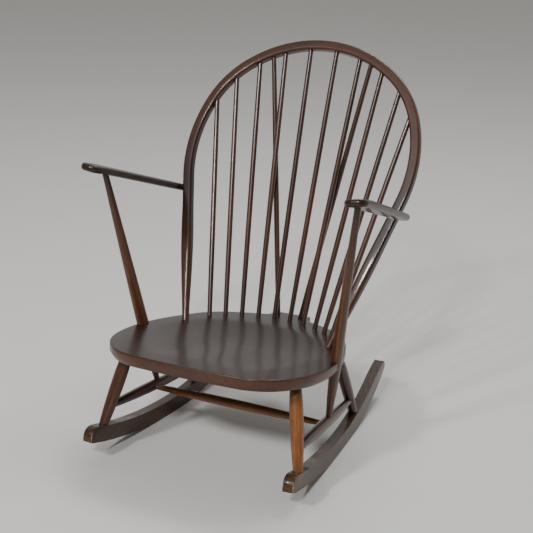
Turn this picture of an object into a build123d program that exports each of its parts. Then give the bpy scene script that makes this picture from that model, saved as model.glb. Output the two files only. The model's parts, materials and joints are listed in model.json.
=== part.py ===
from build123d import *
import os
from math import asin, cos, degrees, exp, hypot, radians, sin

# Hoop back rocking chair, millimetres and degrees.
# +X is the sitter's left, +Y is the back, +Z is up. The floor is Z = 0.
# Every piece on the +X side is modelled, and its partner is its mirror image.

# ---- fits -------------------------------------------------------------------
TENON_FIT = 0.15          # radial clearance of a round tenon in its socket
SEAM = 0.3                # gap between a piece and the notch or surface it lies against
SOCKET_END = 1.0          # air left beyond the end of a tenon

# ---- rockers ----------------------------------------------------------------
ROCKER_THICK = 27.0
ROCKER_DEPTH = 40.0       # lower edge to upper edge
ROCKER_SPREAD = 242.0     # chair's middle to a rocker's middle plane, at the origin
ROCKER_TOE_IN = 4.5       # each rocker turns this much inwards towards the back
ROCKER_REST_Y = -52.6     # where the lower edge touches the floor
ROCKER_FRONT_RADIUS = 1130.0
ROCKER_FRONT_ARC = 17.7
ROCKER_REAR_RADIUS = 820.0
ROCKER_REAR_ARC = 19.4
ROCKER_TAIL_RADIUS = 420.0
ROCKER_TAIL_ARC = 12.8
ROCKER_TAIL_DEPTH = 22.0
ROCKER_NOSE_RADIUS = 24.0
ROCKER_CORNER = 4.0       # lower corner of the nose, and the corners of the tail
ROCKER_EDGE = 2.0         # small rounding of the rockers' long edges

# ---- seat -------------------------------------------------------------------
SEAT_TILT = 7.2
SEAT_Y = -109.0           # the seat's own zero point
SEAT_HEIGHT = 272.4       # top of the seat there
SEAT_THICK = 31.0
SEAT_FRONT = 284.0        # zero point to the middle of the front edge
SEAT_ARCS = (             # radius and arc of each side, from the middle of the front
    (1742.0, 4.5),
    (140.0, 40.5),        # front corner
    (190.0, 35.0),
    (380.0, 26.0),        # widest part
    (650.0, 12.0),
    (180.0, 32.0),        # haunch
    (600.0, 10.0),
)
SEAT_BACK = 290.0         # zero point to the root of the bobtail
SEAT_BOBTAIL_HALF = 52.0
SEAT_BOBTAIL = 26.0       # how far the bobtail reaches past the back edge
SEAT_BOBTAIL_ROOT = 80.0
BOBTAIL_SIDES = 80.0      # angle of its sides
BOBTAIL_CORNER = 9.0
SEAT_BEVEL = 9.0          # bevel under the rim, across
SEAT_BEVEL_RISE = 13.0    # and up the rim
SEAT_LIP = 3.0            # rounding of the top edge
DISH_DEPTH = 14.0
DISH_HALF_WIDTH = 226.0
DISH_FRONT = 262.0
DISH_BACK = 172.0
POMMEL_RISE = 8.0         # low ridge at the middle of the front
POMMEL_HALF_WIDTH = 62.0
DISH_STEPS = 6            # columns of the hollow's surface, each side of the middle
DISH_ROWS = 12
DISH_MARGIN = 1.1         # the hollow's surface runs on past its edge by this factor

# ---- legs -------------------------------------------------------------------
FRONT_LEG_STATION = -279.0   # foot along the rocker, from where it touches the floor
REAR_LEG_STATION = 120.0
FRONT_LEG_X = 228.0          # place of the head under the seat
FRONT_LEG_Y = -151.0
REAR_LEG_X = 226.0
REAR_LEG_Y = 103.0
FRONT_LEG_FOOT = 23.5
FRONT_LEG_BELLY = 33.0
FRONT_LEG_HEAD = 26.0
REAR_LEG_FOOT = 22.5
REAR_LEG_BELLY = 30.0
REAR_LEG_HEAD = 24.0
LEG_BELLY_AT = 0.63          # share of the leg's length, from the foot
LEG_SOCKET = 20.0            # depth of a leg's head in the seat
LEG_COLLAR = 10.0            # plain length of the head just under the seat
LEG_TENON = 15.0             # diameter of the tenon in the rocker
LEG_TENON_LENGTH = 22.0

# ---- stretchers -------------------------------------------------------------
SIDE_STRETCHER_FRONT_AT = 0.245   # share of the front leg's length, from the foot
SIDE_STRETCHER_REAR_AT = 0.23
SIDE_STRETCHER_END = 18.0
SIDE_STRETCHER_BELLY = 28.0
CROSS_STRETCHER_AT = 0.49         # share of the side stretcher's length, from its front
CROSS_STRETCHER_END = 13.5
CROSS_STRETCHER_BELLY = 24.0
STRETCHER_TENON = 19.0
STRETCHER_COLLAR = 5.0            # plain length of a side stretcher beside each leg

# ---- hoop -------------------------------------------------------------------
HOOP_FOOT_Y = 83.5        # along the seat, from its zero point
HOOP_LEAN = 31.1          # from upright
HOOP_RISE = 788.0         # seat to the top of the hoop's centre line, along the lean
HOOP_CROWN_RADIUS = 345.0
HOOP_CROWN_ARC = 37.0
HOOP_SHOULDER_RADIUS = 262.0
HOOP_SHOULDER_ARC = 32.0
HOOP_SIDE_RADIUS = 353.0
HOOP_SIDE_ARC = 35.4
HOOP_FACE = 26.0          # section seen from the front
HOOP_DEPTH = 25.0         # section seen from the side
HOOP_ROUNDING = 6.0
HOOP_PLAIN_LEG = 71.5016  # of the straight leg, above its swell
HOOP_SWELL_AT = 212.0     # above the seat
HOOP_SWELL = 28.5         # widest section of the leg, both ways
HOOP_SWELL_ROUNDING = 8.0
HOOP_ANKLE_AT = 110.0
HOOP_ANKLE = 24.5
HOOP_ANKLE_ROUNDING = 9.0
HOOP_FOOT = 18.5
NEARLY_ROUND = 0.98       # corner rounding of the foot's section, as a share of a full round
HOOP_COLLAR = 11.0        # plain round length of the foot just over the seat
HOOP_SOCKET = 22.0

# ---- back sticks and braces -------------------------------------------------
STICK_ARC_RADIUS = 236.0  # the stick feet stand on this arc on the seat
STICK_ARC_Y = 5.0         # its centre, from the seat's zero point
STICK_FIRST_TURN = 5.6    # half the gap at the middle
STICK_TURN = 10.8
STICK_TOPS = (38.0, 111.0, 188.0, 264.0, 341.0)   # along the hoop from its top
STICK_FOOT = 12.5
STICK_BELLY = 14.6
STICK_HEAD = 12.0
STICK_BELLY_AT = 0.35
STICK_SOCKET = 18.0
STICK_IN_HOOP = 3.0       # how far a stick's end passes the hoop's centre line
PLAIN_END = 3.0           # plain length of a turned end outside its socket
BRACE_FOOT_X = 33.0
BRACE_FOOT_Y = 284.0
BRACE_TOP = 148.0         # along the hoop from its top

# ---- arms -------------------------------------------------------------------
ARM_ON_HOOP = 366.0       # along the hoop's straight leg, from the seat
ARM_SLOPE = 19.3          # down towards the back
ARM_ROLL = 8.0            # inner edge lower than the outer edge
ARM_THICK = 18.0
ARM_HOUSING = 4.0         # depth of the notch that laps the hoop
ARM_TAIL = 15.0           # past the hoop's centre line
ARM_TAIL_WIDTH = 29.0
ARM_NOSE = 415.0          # hoop to the front end
ARM_NOSE_INNER = 10.5     # inner front corner, out from the hoop's face
ARM_NOSE_WIDTH = 57.0
ARM_NOSE_CORNER = 25.0
ARM_TAIL_CORNER = 10.0
ARM_BULGE = 4.0           # outward curve of the arm's outer edge
ARM_DROOP_LENGTH = 70.0   # the front end bends down over this length
ARM_DROOP = 5.0
ARM_DROOP_SPARE = 1.2     # the side profile bends on past the plan's front edge
ARM_EDGE = 6.0

# ---- arm posts --------------------------------------------------------------
POST_ARM_X = 27.5         # out from the hoop's face
POST_ARM_Y = 354.0        # forward from the hoop
POST_STRETCHER_AT = 0.56  # share of the side stretcher's length, from its front
POST_FOOT = 14.5
POST_HEAD = 15.5
POST_BELLY_WIDE = 38.0    # front to back
POST_BELLY_THICK = 26.0
POST_BELLY_AT = 0.30
TENON_SHORT = 2.0         # a tenon stops this far before the other piece's middle
POST_STEPS = 8            # sections that shape the post
POST_LOWER_CURVE = 1.9    # exponents of its outline below and above the belly
POST_UPPER_CURVE = 1.2

# ---- screws under wooden plugs ----------------------------------------------
PLUG = 9.5
PLUG_DEPTH = 5.0
SCREW_SHANK = 4.2
SCREW_HEAD = 8.4
SCREW_HEAD_DEPTH = 2.8
SCREW_RIM = 0.6           # straight edge of the countersunk head
SCREW_FIT = 0.1
POST_PLUG_DEPTH = 4.0
SCREW_BITE = 13.0         # length of the shank in the second piece
POST_SCREW_DROP = 14.0    # below the top of the seat
POST_SCREW_TURN = 40.0    # its plug faces this much forwards from straight outwards

MIDDLE = Plane.YZ
UP = Vector(0, 0, 1)
HALFWAY = 0.5
LEVEL = 0.55              # a direction of the arm with less rise than this counts as level


# ---- small helpers ----------------------------------------------------------
def between(start, end, share):
    """Point at a share of the way from start to end."""
    return start + (end - start) * share


def section_plane(point, direction, across=None):
    """Plane at a point, square to a direction."""
    if across is None:
        return Plane(origin=point, z_dir=direction)
    return Plane(origin=point, x_dir=across, z_dir=direction)


def peg(start, end, diameter):
    """Plain round bar from start to end: a tenon, or the cutter of its socket."""
    with BuildPart() as bar:
        with BuildSketch(section_plane(start, end - start)):
            Circle(diameter / 2)
        extrude(amount=(end - start).length)
    return bar.part


def turned(foot, head, foot_dia, belly_dia, head_dia, belly_at, foot_tenon, head_tenon):
    """Turned bar that swells to a belly, with plain ends running into its sockets."""
    along = head - foot
    length = along.length
    across = section_plane(foot, along).x_dir
    side = Plane(origin=foot, x_dir=across, z_dir=across.cross(along.normalized()))
    belly = (belly_dia / 2, length * belly_at)
    with BuildPart() as bar:
        with BuildSketch(side):
            with BuildLine():
                lower = TangentArc(belly, (foot_dia / 2, 0), tangent=(0, -1))
                upper = TangentArc(belly, (head_dia / 2, length), tangent=(0, 1))
                Polyline(
                    lower @ 1,
                    (foot_dia / 2, -foot_tenon),
                    (0, -foot_tenon),
                    (0, length + head_tenon),
                    (head_dia / 2, length + head_tenon),
                    upper @ 1,
                )
            make_face()
        revolve(axis=Axis(foot, along))
    return bar.part


def mirrored(part):
    """Mirror image of a finished piece, for the other side of the chair."""
    with BuildPart() as twin:
        mirror(part, about=MIDDLE)
    return twin


# ---- seat frame of reference ------------------------------------------------
seat_top = Plane(
    origin=(0, SEAT_Y, SEAT_HEIGHT),
    x_dir=(1, 0, 0),
    z_dir=(0, sin(radians(SEAT_TILT)), cos(radians(SEAT_TILT))),
)


def on_seat(x, y, below=0.0):
    """Point over the seat's own plan, a depth below its top."""
    return seat_top.from_local_coords(Vector(x, y, -below))


# ---- rocker geometry --------------------------------------------------------
toe = radians(ROCKER_TOE_IN)
rocker_along = Vector(-sin(toe), cos(toe), 0)
rocker_side = Plane(
    origin=(ROCKER_SPREAD, 0, 0),
    x_dir=rocker_along,
    z_dir=rocker_along.cross(UP),
)
rest_station = ROCKER_REST_Y / cos(toe)


def rocker_seat(station):
    """Plane on a rocker's upper edge where a leg stands, its Z square to the edge."""
    outer = ROCKER_FRONT_RADIUS if station < rest_station else ROCKER_REAR_RADIUS
    inner = outer - ROCKER_DEPTH
    turn = asin((rest_station - station) / inner)
    point = rocker_side.from_local_coords(Vector(station, outer - inner * cos(turn), 0))
    square = rocker_along * sin(turn) + UP * cos(turn)
    return Plane(origin=point, x_dir=rocker_side.z_dir, z_dir=square)


# ---- hoop geometry ----------------------------------------------------------
lean = radians(HOOP_LEAN)
hoop_up = Vector(0, sin(lean), cos(lean))
hoop_plane = Plane(
    origin=on_seat(0, HOOP_FOOT_Y),
    x_dir=(1, 0, 0),
    z_dir=(0, -cos(lean), sin(lean)),
)


def hoop_point(across, up):
    """Point in the plane of the hoop."""
    return hoop_plane.from_local_coords(Vector(across, up, 0))


def arc_end(start, turn, radius, arc):
    """End of an arc that turns clockwise by arc degrees, and its turn there."""
    turned_to = turn + arc
    across = radius * (sin(radians(turned_to)) - sin(radians(turn)))
    down = radius * (cos(radians(turn)) - cos(radians(turned_to)))
    return (start[0] + across, start[1] - down), turned_to


def heading(turn):
    """Direction of the hoop's centre line after a clockwise turn from its top."""
    return (cos(radians(turn)), -sin(radians(turn)))


crown_end, crown_turn = arc_end((0, HOOP_RISE), 0, HOOP_CROWN_RADIUS, HOOP_CROWN_ARC)
shoulder_end, shoulder_turn = arc_end(
    crown_end, crown_turn, HOOP_SHOULDER_RADIUS, HOOP_SHOULDER_ARC
)
side_end, side_turn = arc_end(shoulder_end, shoulder_turn, HOOP_SIDE_RADIUS, HOOP_SIDE_ARC)
flare = radians(side_turn - 90)
leg_direction = hoop_plane.x_dir * sin(flare) + hoop_up * cos(flare)
straight_leg = side_end[1] / cos(flare)
hoop_foot = hoop_point(side_end[0] - straight_leg * sin(flare), 0)


def along_hoop(distance):
    """Point on the hoop's centre line, measured from its top down the +X side."""
    start, turn = (0, HOOP_RISE), 0
    arcs = (
        (HOOP_CROWN_RADIUS, HOOP_CROWN_ARC),
        (HOOP_SHOULDER_RADIUS, HOOP_SHOULDER_ARC),
        (HOOP_SIDE_RADIUS, HOOP_SIDE_ARC),
    )
    for radius, arc in arcs:
        length = radius * radians(arc)
        if distance <= length:
            end, _ = arc_end(start, turn, radius, degrees(distance / radius))
            return hoop_point(*end)
        distance -= length
        start, turn = arc_end(start, turn, radius, arc)
    return hoop_point(*start) - leg_direction * distance


# ---- shared axes ------------------------------------------------------------
front_foot_seat = rocker_seat(rest_station + FRONT_LEG_STATION)
rear_foot_seat = rocker_seat(rest_station + REAR_LEG_STATION)
front_foot = front_foot_seat.origin
rear_foot = rear_foot_seat.origin
front_head = on_seat(FRONT_LEG_X, FRONT_LEG_Y, SEAT_THICK)
rear_head = on_seat(REAR_LEG_X, REAR_LEG_Y, SEAT_THICK)

side_front = between(front_foot, front_head, SIDE_STRETCHER_FRONT_AT)
side_rear = between(rear_foot, rear_head, SIDE_STRETCHER_REAR_AT)
cross_right = between(side_front, side_rear, CROSS_STRETCHER_AT)
cross_left = Vector(-cross_right.X, cross_right.Y, cross_right.Z)

lap_centre = hoop_foot + leg_direction * ARM_ON_HOOP
hoop_outward = leg_direction.cross(hoop_plane.z_dir)
lap_face = lap_centre + hoop_outward * (HOOP_FACE / 2)

slope = radians(ARM_SLOPE)
roll = radians(ARM_ROLL)
arm_back = Vector(0, cos(slope), -sin(slope))
arm_out = Vector(cos(roll), sin(roll) * sin(slope), sin(roll) * cos(slope))
arm_plane = Plane(origin=lap_face, x_dir=arm_out, z_dir=arm_out.cross(arm_back))

post_foot = between(side_front, side_rear, POST_STRETCHER_AT)
post_head = arm_plane.from_local_coords(Vector(POST_ARM_X, -POST_ARM_Y, 0))
post_along = (post_head - post_foot).normalized()
post_length = (post_head - post_foot).length


# ---- seat blank -------------------------------------------------------------
def dish_depth(x, y):
    """Depth of the hollowed top under its flat rim, negative outside the hollow."""
    reach = DISH_FRONT if y < 0 else DISH_BACK
    hollow = DISH_DEPTH * (1 - (x / DISH_HALF_WIDTH) ** 2 - (y / reach) ** 2)
    forward = min(max(-y / DISH_FRONT, 0), 1)
    return hollow - POMMEL_RISE * forward * exp(-((x / POMMEL_HALF_WIDTH) ** 2))


def seat_side():
    """Arcs of the +X half of the seat's outline, from the middle of the front."""
    point, turned_to = Vector(0, -SEAT_FRONT), 0
    arcs = []
    for radius, arc in SEAT_ARCS:
        start_heading = (cos(radians(turned_to)), sin(radians(turned_to)))
        arcs.append(JernArc(point, start_heading, radius, arc))
        point, turned_to = arcs[-1] @ 1, turned_to + arc
    return arcs


with BuildPart() as seat_blank:
    with BuildSketch(seat_top) as seat_plan:
        with BuildLine() as seat_outline:
            seat_side()
            mirror(about=Plane.YZ)
            back = seat_outline.vertices().group_by(Axis.Y)[-1]
            Line(back[0], back[-1])
        make_face()
        with Locations((0, SEAT_BACK + SEAT_BOBTAIL)):
            Trapezoid(
                2 * SEAT_BOBTAIL_HALF + SEAT_BOBTAIL,
                SEAT_BOBTAIL_ROOT,
                BOBTAIL_SIDES,
                align=(Align.CENTER, Align.MAX),
            )
        fillet(seat_plan.vertices().sort_by(Axis.Y)[-4:], BOBTAIL_CORNER)
    extrude(amount=-SEAT_THICK)
    underside = seat_blank.faces().filter_by(seat_top).sort_by(Axis.Z)[0]
    chamfer(underside.edges(), SEAT_BEVEL, SEAT_BEVEL_RISE, reference=underside)
    rim = seat_blank.faces().filter_by(seat_top).sort_by(Axis.Z)[-1]
    fillet(rim.edges(), SEAT_LIP)

dish_columns = [
    DISH_MARGIN * DISH_HALF_WIDTH * i / DISH_STEPS for i in range(-DISH_STEPS, DISH_STEPS + 1)
]
dish_rows = [
    DISH_MARGIN * ((DISH_FRONT + DISH_BACK) * i / DISH_ROWS - DISH_FRONT)
    for i in range(DISH_ROWS + 1)
]
dish_face = Face.make_surface_from_array_of_points(
    [[on_seat(x, y, dish_depth(x, y)) for y in dish_rows] for x in dish_columns]
)
with BuildPart() as dish:
    extrude(dish_face, amount=SEAT_THICK, dir=tuple(seat_top.z_dir))


# ---- hoop blank -------------------------------------------------------------
def leg_section(up):
    """Plane square to the hoop's straight leg, a distance up from the seat."""
    return section_plane(hoop_foot + leg_direction * up, leg_direction, hoop_plane.z_dir)


swell_top = leg_section(straight_leg - HOOP_PLAIN_LEG)
with BuildPart() as bow:
    with BuildLine(hoop_plane):
        JernArc((0, HOOP_RISE), (1, 0), HOOP_CROWN_RADIUS, -HOOP_CROWN_ARC)
        JernArc(
            crown_end, heading(crown_turn), HOOP_SHOULDER_RADIUS, -HOOP_SHOULDER_ARC
        )
        JernArc(
            shoulder_end, heading(shoulder_turn), HOOP_SIDE_RADIUS, -HOOP_SIDE_ARC
        )
        Line(
            side_end,
            (side_end[0] - HOOP_PLAIN_LEG * sin(flare), side_end[1] - HOOP_PLAIN_LEG * cos(flare)),
        )
        mirror(about=Plane.YZ)
    with BuildSketch(swell_top):
        RectangleRounded(HOOP_DEPTH, HOOP_FACE, HOOP_ROUNDING)
    sweep()

with BuildPart() as hoop_leg:
    with BuildSketch(swell_top):
        RectangleRounded(HOOP_DEPTH, HOOP_FACE, HOOP_ROUNDING)
    with BuildSketch(leg_section(HOOP_SWELL_AT)):
        RectangleRounded(HOOP_SWELL, HOOP_SWELL, HOOP_SWELL_ROUNDING)
    with BuildSketch(leg_section(HOOP_ANKLE_AT)):
        RectangleRounded(HOOP_ANKLE, HOOP_ANKLE, HOOP_ANKLE_ROUNDING)
    with BuildSketch(leg_section(HOOP_COLLAR)):
        RectangleRounded(HOOP_FOOT, HOOP_FOOT, NEARLY_ROUND * HOOP_FOOT / 2)
    loft()
    with BuildSketch(leg_section(HOOP_COLLAR)):
        RectangleRounded(HOOP_FOOT, HOOP_FOOT, NEARLY_ROUND * HOOP_FOOT / 2)
    extrude(amount=-(HOOP_COLLAR + HOOP_SOCKET))

with BuildPart() as hoop_blank:
    add(bow.part)
    add(hoop_leg.part)
    mirror(hoop_leg.part, about=MIDDLE)


# ---- back sticks and braces -------------------------------------------------
def stick(foot, distance):
    """One stick from its foot on the seat to a place along the hoop."""
    top = along_hoop(distance)
    tangent = (along_hoop(distance + 1) - top).normalized()
    aim = (top - foot).normalized()
    into_hoop = HOOP_DEPTH / 2 / tangent.cross(aim).length + PLAIN_END
    bar = turned(
        foot + aim * PLAIN_END,
        top - aim * into_hoop,
        STICK_FOOT,
        STICK_BELLY,
        STICK_HEAD,
        STICK_BELLY_AT,
        STICK_SOCKET + PLAIN_END,
        into_hoop + STICK_IN_HOOP,
    )
    foot_socket = peg(
        foot - aim * (STICK_SOCKET + SOCKET_END),
        foot + aim * STICK_FOOT,
        STICK_FOOT + 2 * TENON_FIT,
    )
    top_socket = peg(
        top - aim * (into_hoop + STICK_HEAD),
        top + aim * (STICK_IN_HOOP + SOCKET_END),
        STICK_HEAD + 2 * TENON_FIT,
    )
    return bar, foot_socket, top_socket


stick_turns = [STICK_FIRST_TURN + STICK_TURN * i for i in range(len(STICK_TOPS))]
stick_feet = [
    on_seat(
        STICK_ARC_RADIUS * sin(radians(turn)),
        STICK_ARC_Y + STICK_ARC_RADIUS * cos(radians(turn)),
    )
    for turn in stick_turns
]
sticks = [stick(foot, top) for foot, top in zip(stick_feet, STICK_TOPS)]
brace = stick(on_seat(BRACE_FOOT_X, BRACE_FOOT_Y), BRACE_TOP)


# ---- arm posts --------------------------------------------------------------
post_out = (Vector(1, 0, 0) - post_along * post_along.X).normalized()
arm_lean = post_along.dot(arm_plane.z_dir)
post_under_arm = (ARM_THICK / 2 + POST_HEAD / 2) / arm_lean + PLAIN_END
post_over_stretcher = SIDE_STRETCHER_BELLY / 2 + PLAIN_END
seat_middle = on_seat(0, 0, POST_SCREW_DROP)
post_at_seat = post_foot + post_along * (
    (seat_middle - post_foot).dot(seat_top.z_dir) / post_along.dot(seat_top.z_dir)
)


def post_size(share, foot, belly, head):
    """Width or thickness of the post at a share of its length, from its foot."""
    if share < POST_BELLY_AT:
        return belly - (belly - foot) * (1 - share / POST_BELLY_AT) ** POST_LOWER_CURVE
    rise = (share - POST_BELLY_AT) / (1 - POST_BELLY_AT)
    return belly - (belly - head) * rise**POST_UPPER_CURVE


def post_body(grow):
    """Flattened post from stretcher to arm, grown all round to cut its notch."""
    low = post_foot + post_along * post_over_stretcher
    high = post_head - post_along * post_under_arm
    with BuildPart() as body:
        for step in range(POST_STEPS + 1):
            share = step / POST_STEPS
            with BuildSketch(section_plane(between(low, high, share), post_along, post_out)):
                Ellipse(
                    post_size(share, POST_FOOT, POST_BELLY_THICK, POST_HEAD) / 2 + grow,
                    post_size(share, POST_FOOT, POST_BELLY_WIDE, POST_HEAD) / 2 + grow,
                )
        loft()
    return body.part


with BuildPart() as post_blank:
    add(post_body(0))
    add(
        peg(
            post_foot + post_along * TENON_SHORT,
            post_foot + post_along * post_over_stretcher,
            POST_FOOT,
        )
    )
    add(
        peg(
            post_head - post_along * post_under_arm,
            post_head + post_along * TENON_SHORT,
            POST_HEAD,
        )
    )

with BuildPart() as post_notch:
    add(post_body(SEAM))
    with BuildSketch(section_plane(post_at_seat, post_along, post_out)):
        Rectangle(
            2 * POST_BELLY_WIDE,
            POST_BELLY_WIDE + 2 * SEAM,
            align=(Align.MIN, Align.CENTER),
        )
    extrude(amount=SEAT_THICK, both=True)


# ---- arms -------------------------------------------------------------------
arm_side = Plane(origin=arm_plane.origin, x_dir=arm_back, z_dir=arm_out)
droop_start = ARM_DROOP_LENGTH - ARM_NOSE
droop_radius = ARM_DROOP_LENGTH / radians(ARM_DROOP)
droop_turn = ARM_DROOP * ARM_DROOP_SPARE
half = ARM_THICK / 2
tail_outer = ARM_TAIL_WIDTH - ARM_HOUSING
nose_outer = ARM_NOSE_INNER + ARM_NOSE_WIDTH


def rise_of(direction):
    """How steeply a direction leaves the plane of the arm, from 0 to 1."""
    return abs(direction.dot(arm_plane.z_dir))


with BuildPart() as arm_blank:
    with BuildSketch(arm_side):
        with BuildLine():
            Polyline((droop_start, half), (ARM_TAIL, half), (ARM_TAIL, -half), (droop_start, -half))
            over = JernArc((droop_start, half), (-1, 0), droop_radius + half, droop_turn)
            under = JernArc((droop_start, -half), (-1, 0), droop_radius - half, droop_turn)
            Line(over @ 1, under @ 1)
        make_face()
    extrude(amount=ARM_NOSE / 2, both=True)
    with BuildSketch(arm_plane) as arm_plan:
        with BuildLine():
            Polyline(
                (tail_outer, ARM_TAIL),
                (-ARM_HOUSING, ARM_TAIL),
                (ARM_NOSE_INNER, -ARM_NOSE),
                (nose_outer, -ARM_NOSE),
            )
            ThreePointArc(
                (nose_outer, -ARM_NOSE),
                ((nose_outer + tail_outer) / 2 + ARM_BULGE, (ARM_TAIL - ARM_NOSE) / 2),
                (tail_outer, ARM_TAIL),
            )
        make_face()
        fillet(arm_plan.vertices().group_by(Axis.Y)[0], ARM_NOSE_CORNER)
        fillet(arm_plan.vertices().group_by(Axis.Y)[-1], ARM_TAIL_CORNER)
    extrude(amount=ARM_NOSE / 4, both=True, mode=Mode.INTERSECT)
    walls = arm_blank.faces().filter_by(lambda face: rise_of(face.normal_at()) < LEVEL)
    rims = {edge for face in walls for edge in face.edges() if rise_of(edge % HALFWAY) < LEVEL}
    fillet(list(rims), ARM_EDGE)


# ---- screws and the plugs over them -----------------------------------------
def screw(seat_of_head, direction, length, grow=0.0):
    """Countersunk screw from the underside of its plug, or the cutter of its hole."""
    across = section_plane(seat_of_head, direction).x_dir
    side = Plane(origin=seat_of_head, x_dir=across, z_dir=across.cross(direction.normalized()))
    head = SCREW_HEAD / 2 + grow
    shank = SCREW_SHANK / 2 + grow
    with BuildPart() as body:
        with BuildSketch(side):
            with BuildLine():
                Polyline(
                    (0, 0),
                    (head, 0),
                    (head, SCREW_RIM),
                    (shank, SCREW_HEAD_DEPTH),
                    (shank, length - SCREW_SHANK + grow),
                    (0, length + grow),
                    close=True,
                )
            make_face()
        revolve(axis=Axis(seat_of_head, direction))
    return body.part


arm_edge = arm_plane.from_local_coords(Vector(tail_outer, 0, 0))
arm_screw_seat = arm_edge - arm_out * PLUG_DEPTH
arm_screw_length = tail_outer - PLUG_DEPTH + SCREW_BITE
arm_plug_bar = peg(arm_screw_seat, arm_edge + arm_out * PLUG, PLUG)

screw_turn = radians(POST_SCREW_TURN)
plug_out = Vector(cos(screw_turn), -sin(screw_turn), 0)
post_edge_reach = 0.5 / hypot(plug_out.X / POST_BELLY_THICK, plug_out.Y / POST_BELLY_WIDE)
post_screw_seat = post_at_seat + plug_out * (post_edge_reach - POST_PLUG_DEPTH)
post_screw_length = 2 * post_edge_reach - POST_PLUG_DEPTH + SCREW_BITE
post_plug_bar = peg(post_screw_seat, post_screw_seat + plug_out * 2 * PLUG, PLUG)

with BuildPart() as arm_screw_cut:
    add(screw(arm_screw_seat, -arm_out, arm_screw_length, SCREW_FIT))
    add(peg(arm_screw_seat, arm_edge + arm_out * PLUG, PLUG + 2 * SCREW_FIT))

with BuildPart() as post_screw_cut:
    add(screw(post_screw_seat, -plug_out, post_screw_length, SCREW_FIT))
    add(peg(post_screw_seat, post_screw_seat + plug_out * 2 * PLUG, PLUG + 2 * SCREW_FIT))


# ---- stretchers -------------------------------------------------------------
side_along = (side_rear - side_front).normalized()
front_inset = FRONT_LEG_BELLY / 2 + STRETCHER_COLLAR
rear_inset = REAR_LEG_BELLY / 2 + STRETCHER_COLLAR
with BuildPart() as side_blank:
    add(
        turned(
            side_front + side_along * front_inset,
            side_rear - side_along * rear_inset,
            SIDE_STRETCHER_END,
            SIDE_STRETCHER_BELLY,
            SIDE_STRETCHER_END,
            HALFWAY,
            STRETCHER_TENON,
            STRETCHER_TENON,
        )
    )

cross_inset = Vector(SIDE_STRETCHER_BELLY / 2 + PLAIN_END, 0, 0)
cross_tenon = cross_inset.length - TENON_SHORT
with BuildPart() as cross_stretcher:
    add(
        turned(
            cross_left + cross_inset,
            cross_right - cross_inset,
            CROSS_STRETCHER_END,
            CROSS_STRETCHER_BELLY,
            CROSS_STRETCHER_END,
            HALFWAY,
            cross_tenon,
            cross_tenon,
        )
    )

side_socket_front = peg(
    side_front + side_along * (front_inset - STRETCHER_TENON - SOCKET_END),
    side_front + side_along * FRONT_LEG_BELLY,
    SIDE_STRETCHER_END + 2 * TENON_FIT,
)
side_socket_rear = peg(
    side_rear - side_along * (rear_inset - STRETCHER_TENON - SOCKET_END),
    side_rear - side_along * REAR_LEG_BELLY,
    SIDE_STRETCHER_END + 2 * TENON_FIT,
)
cross_socket = peg(
    cross_right - cross_inset + Vector(cross_tenon + SOCKET_END, 0, 0),
    cross_right - 2 * cross_inset,
    CROSS_STRETCHER_END + 2 * TENON_FIT,
)
post_foot_socket = peg(
    post_foot + post_along * (TENON_SHORT - SOCKET_END),
    post_foot + post_along * SIDE_STRETCHER_BELLY,
    POST_FOOT + 2 * TENON_FIT,
)
post_head_socket = peg(
    post_head - post_along * 2 * post_under_arm,
    post_head + post_along * (TENON_SHORT + SOCKET_END),
    POST_HEAD + 2 * TENON_FIT,
)

with BuildPart() as side_stretcher_left:
    add(side_blank.part)
    add(cross_socket, mode=Mode.SUBTRACT)
    add(post_foot_socket, mode=Mode.SUBTRACT)


# ---- legs -------------------------------------------------------------------
def leg(foot_seat, head, foot_dia, belly_dia, head_dia, stretcher_socket):
    """Leg from the rocker's upper edge to its socket in the seat."""
    foot = foot_seat.origin
    aim = (head - foot).normalized()
    shoulder = foot_seat.offset(SEAM)
    with BuildPart() as body:
        add(
            turned(
                foot,
                head - aim * LEG_COLLAR,
                foot_dia,
                belly_dia,
                head_dia,
                LEG_BELLY_AT,
                foot_dia / 2,
                LEG_COLLAR + LEG_SOCKET,
            )
        )
        split(bisect_by=shoulder, keep=Keep.TOP)
        add(peg(foot - aim * LEG_TENON_LENGTH, foot + aim * foot_dia / 2, LEG_TENON))
        add(stretcher_socket, mode=Mode.SUBTRACT)
    tenon_socket = peg(
        foot - aim * (LEG_TENON_LENGTH + SOCKET_END),
        foot + aim * foot_dia,
        LEG_TENON + 2 * TENON_FIT,
    )
    head_socket = peg(
        head - aim * head_dia,
        head + aim * (LEG_SOCKET + SOCKET_END),
        head_dia + 2 * TENON_FIT,
    )
    return body, tenon_socket, head_socket


front_leg_left, front_tenon_socket, front_head_socket = leg(
    front_foot_seat, front_head, FRONT_LEG_FOOT, FRONT_LEG_BELLY, FRONT_LEG_HEAD, side_socket_front
)
rear_leg_left, rear_tenon_socket, rear_head_socket = leg(
    rear_foot_seat, rear_head, REAR_LEG_FOOT, REAR_LEG_BELLY, REAR_LEG_HEAD, side_socket_rear
)


# ---- rockers ----------------------------------------------------------------
nose_sine = ROCKER_FRONT_RADIUS * sin(radians(ROCKER_FRONT_ARC))
upper_front_arc = degrees(asin(nose_sine / (ROCKER_FRONT_RADIUS - ROCKER_DEPTH)))
tail_turn = radians(ROCKER_REAR_ARC + ROCKER_TAIL_ARC)
touch = (rest_station, 0)
crest = (rest_station, ROCKER_DEPTH)

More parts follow.
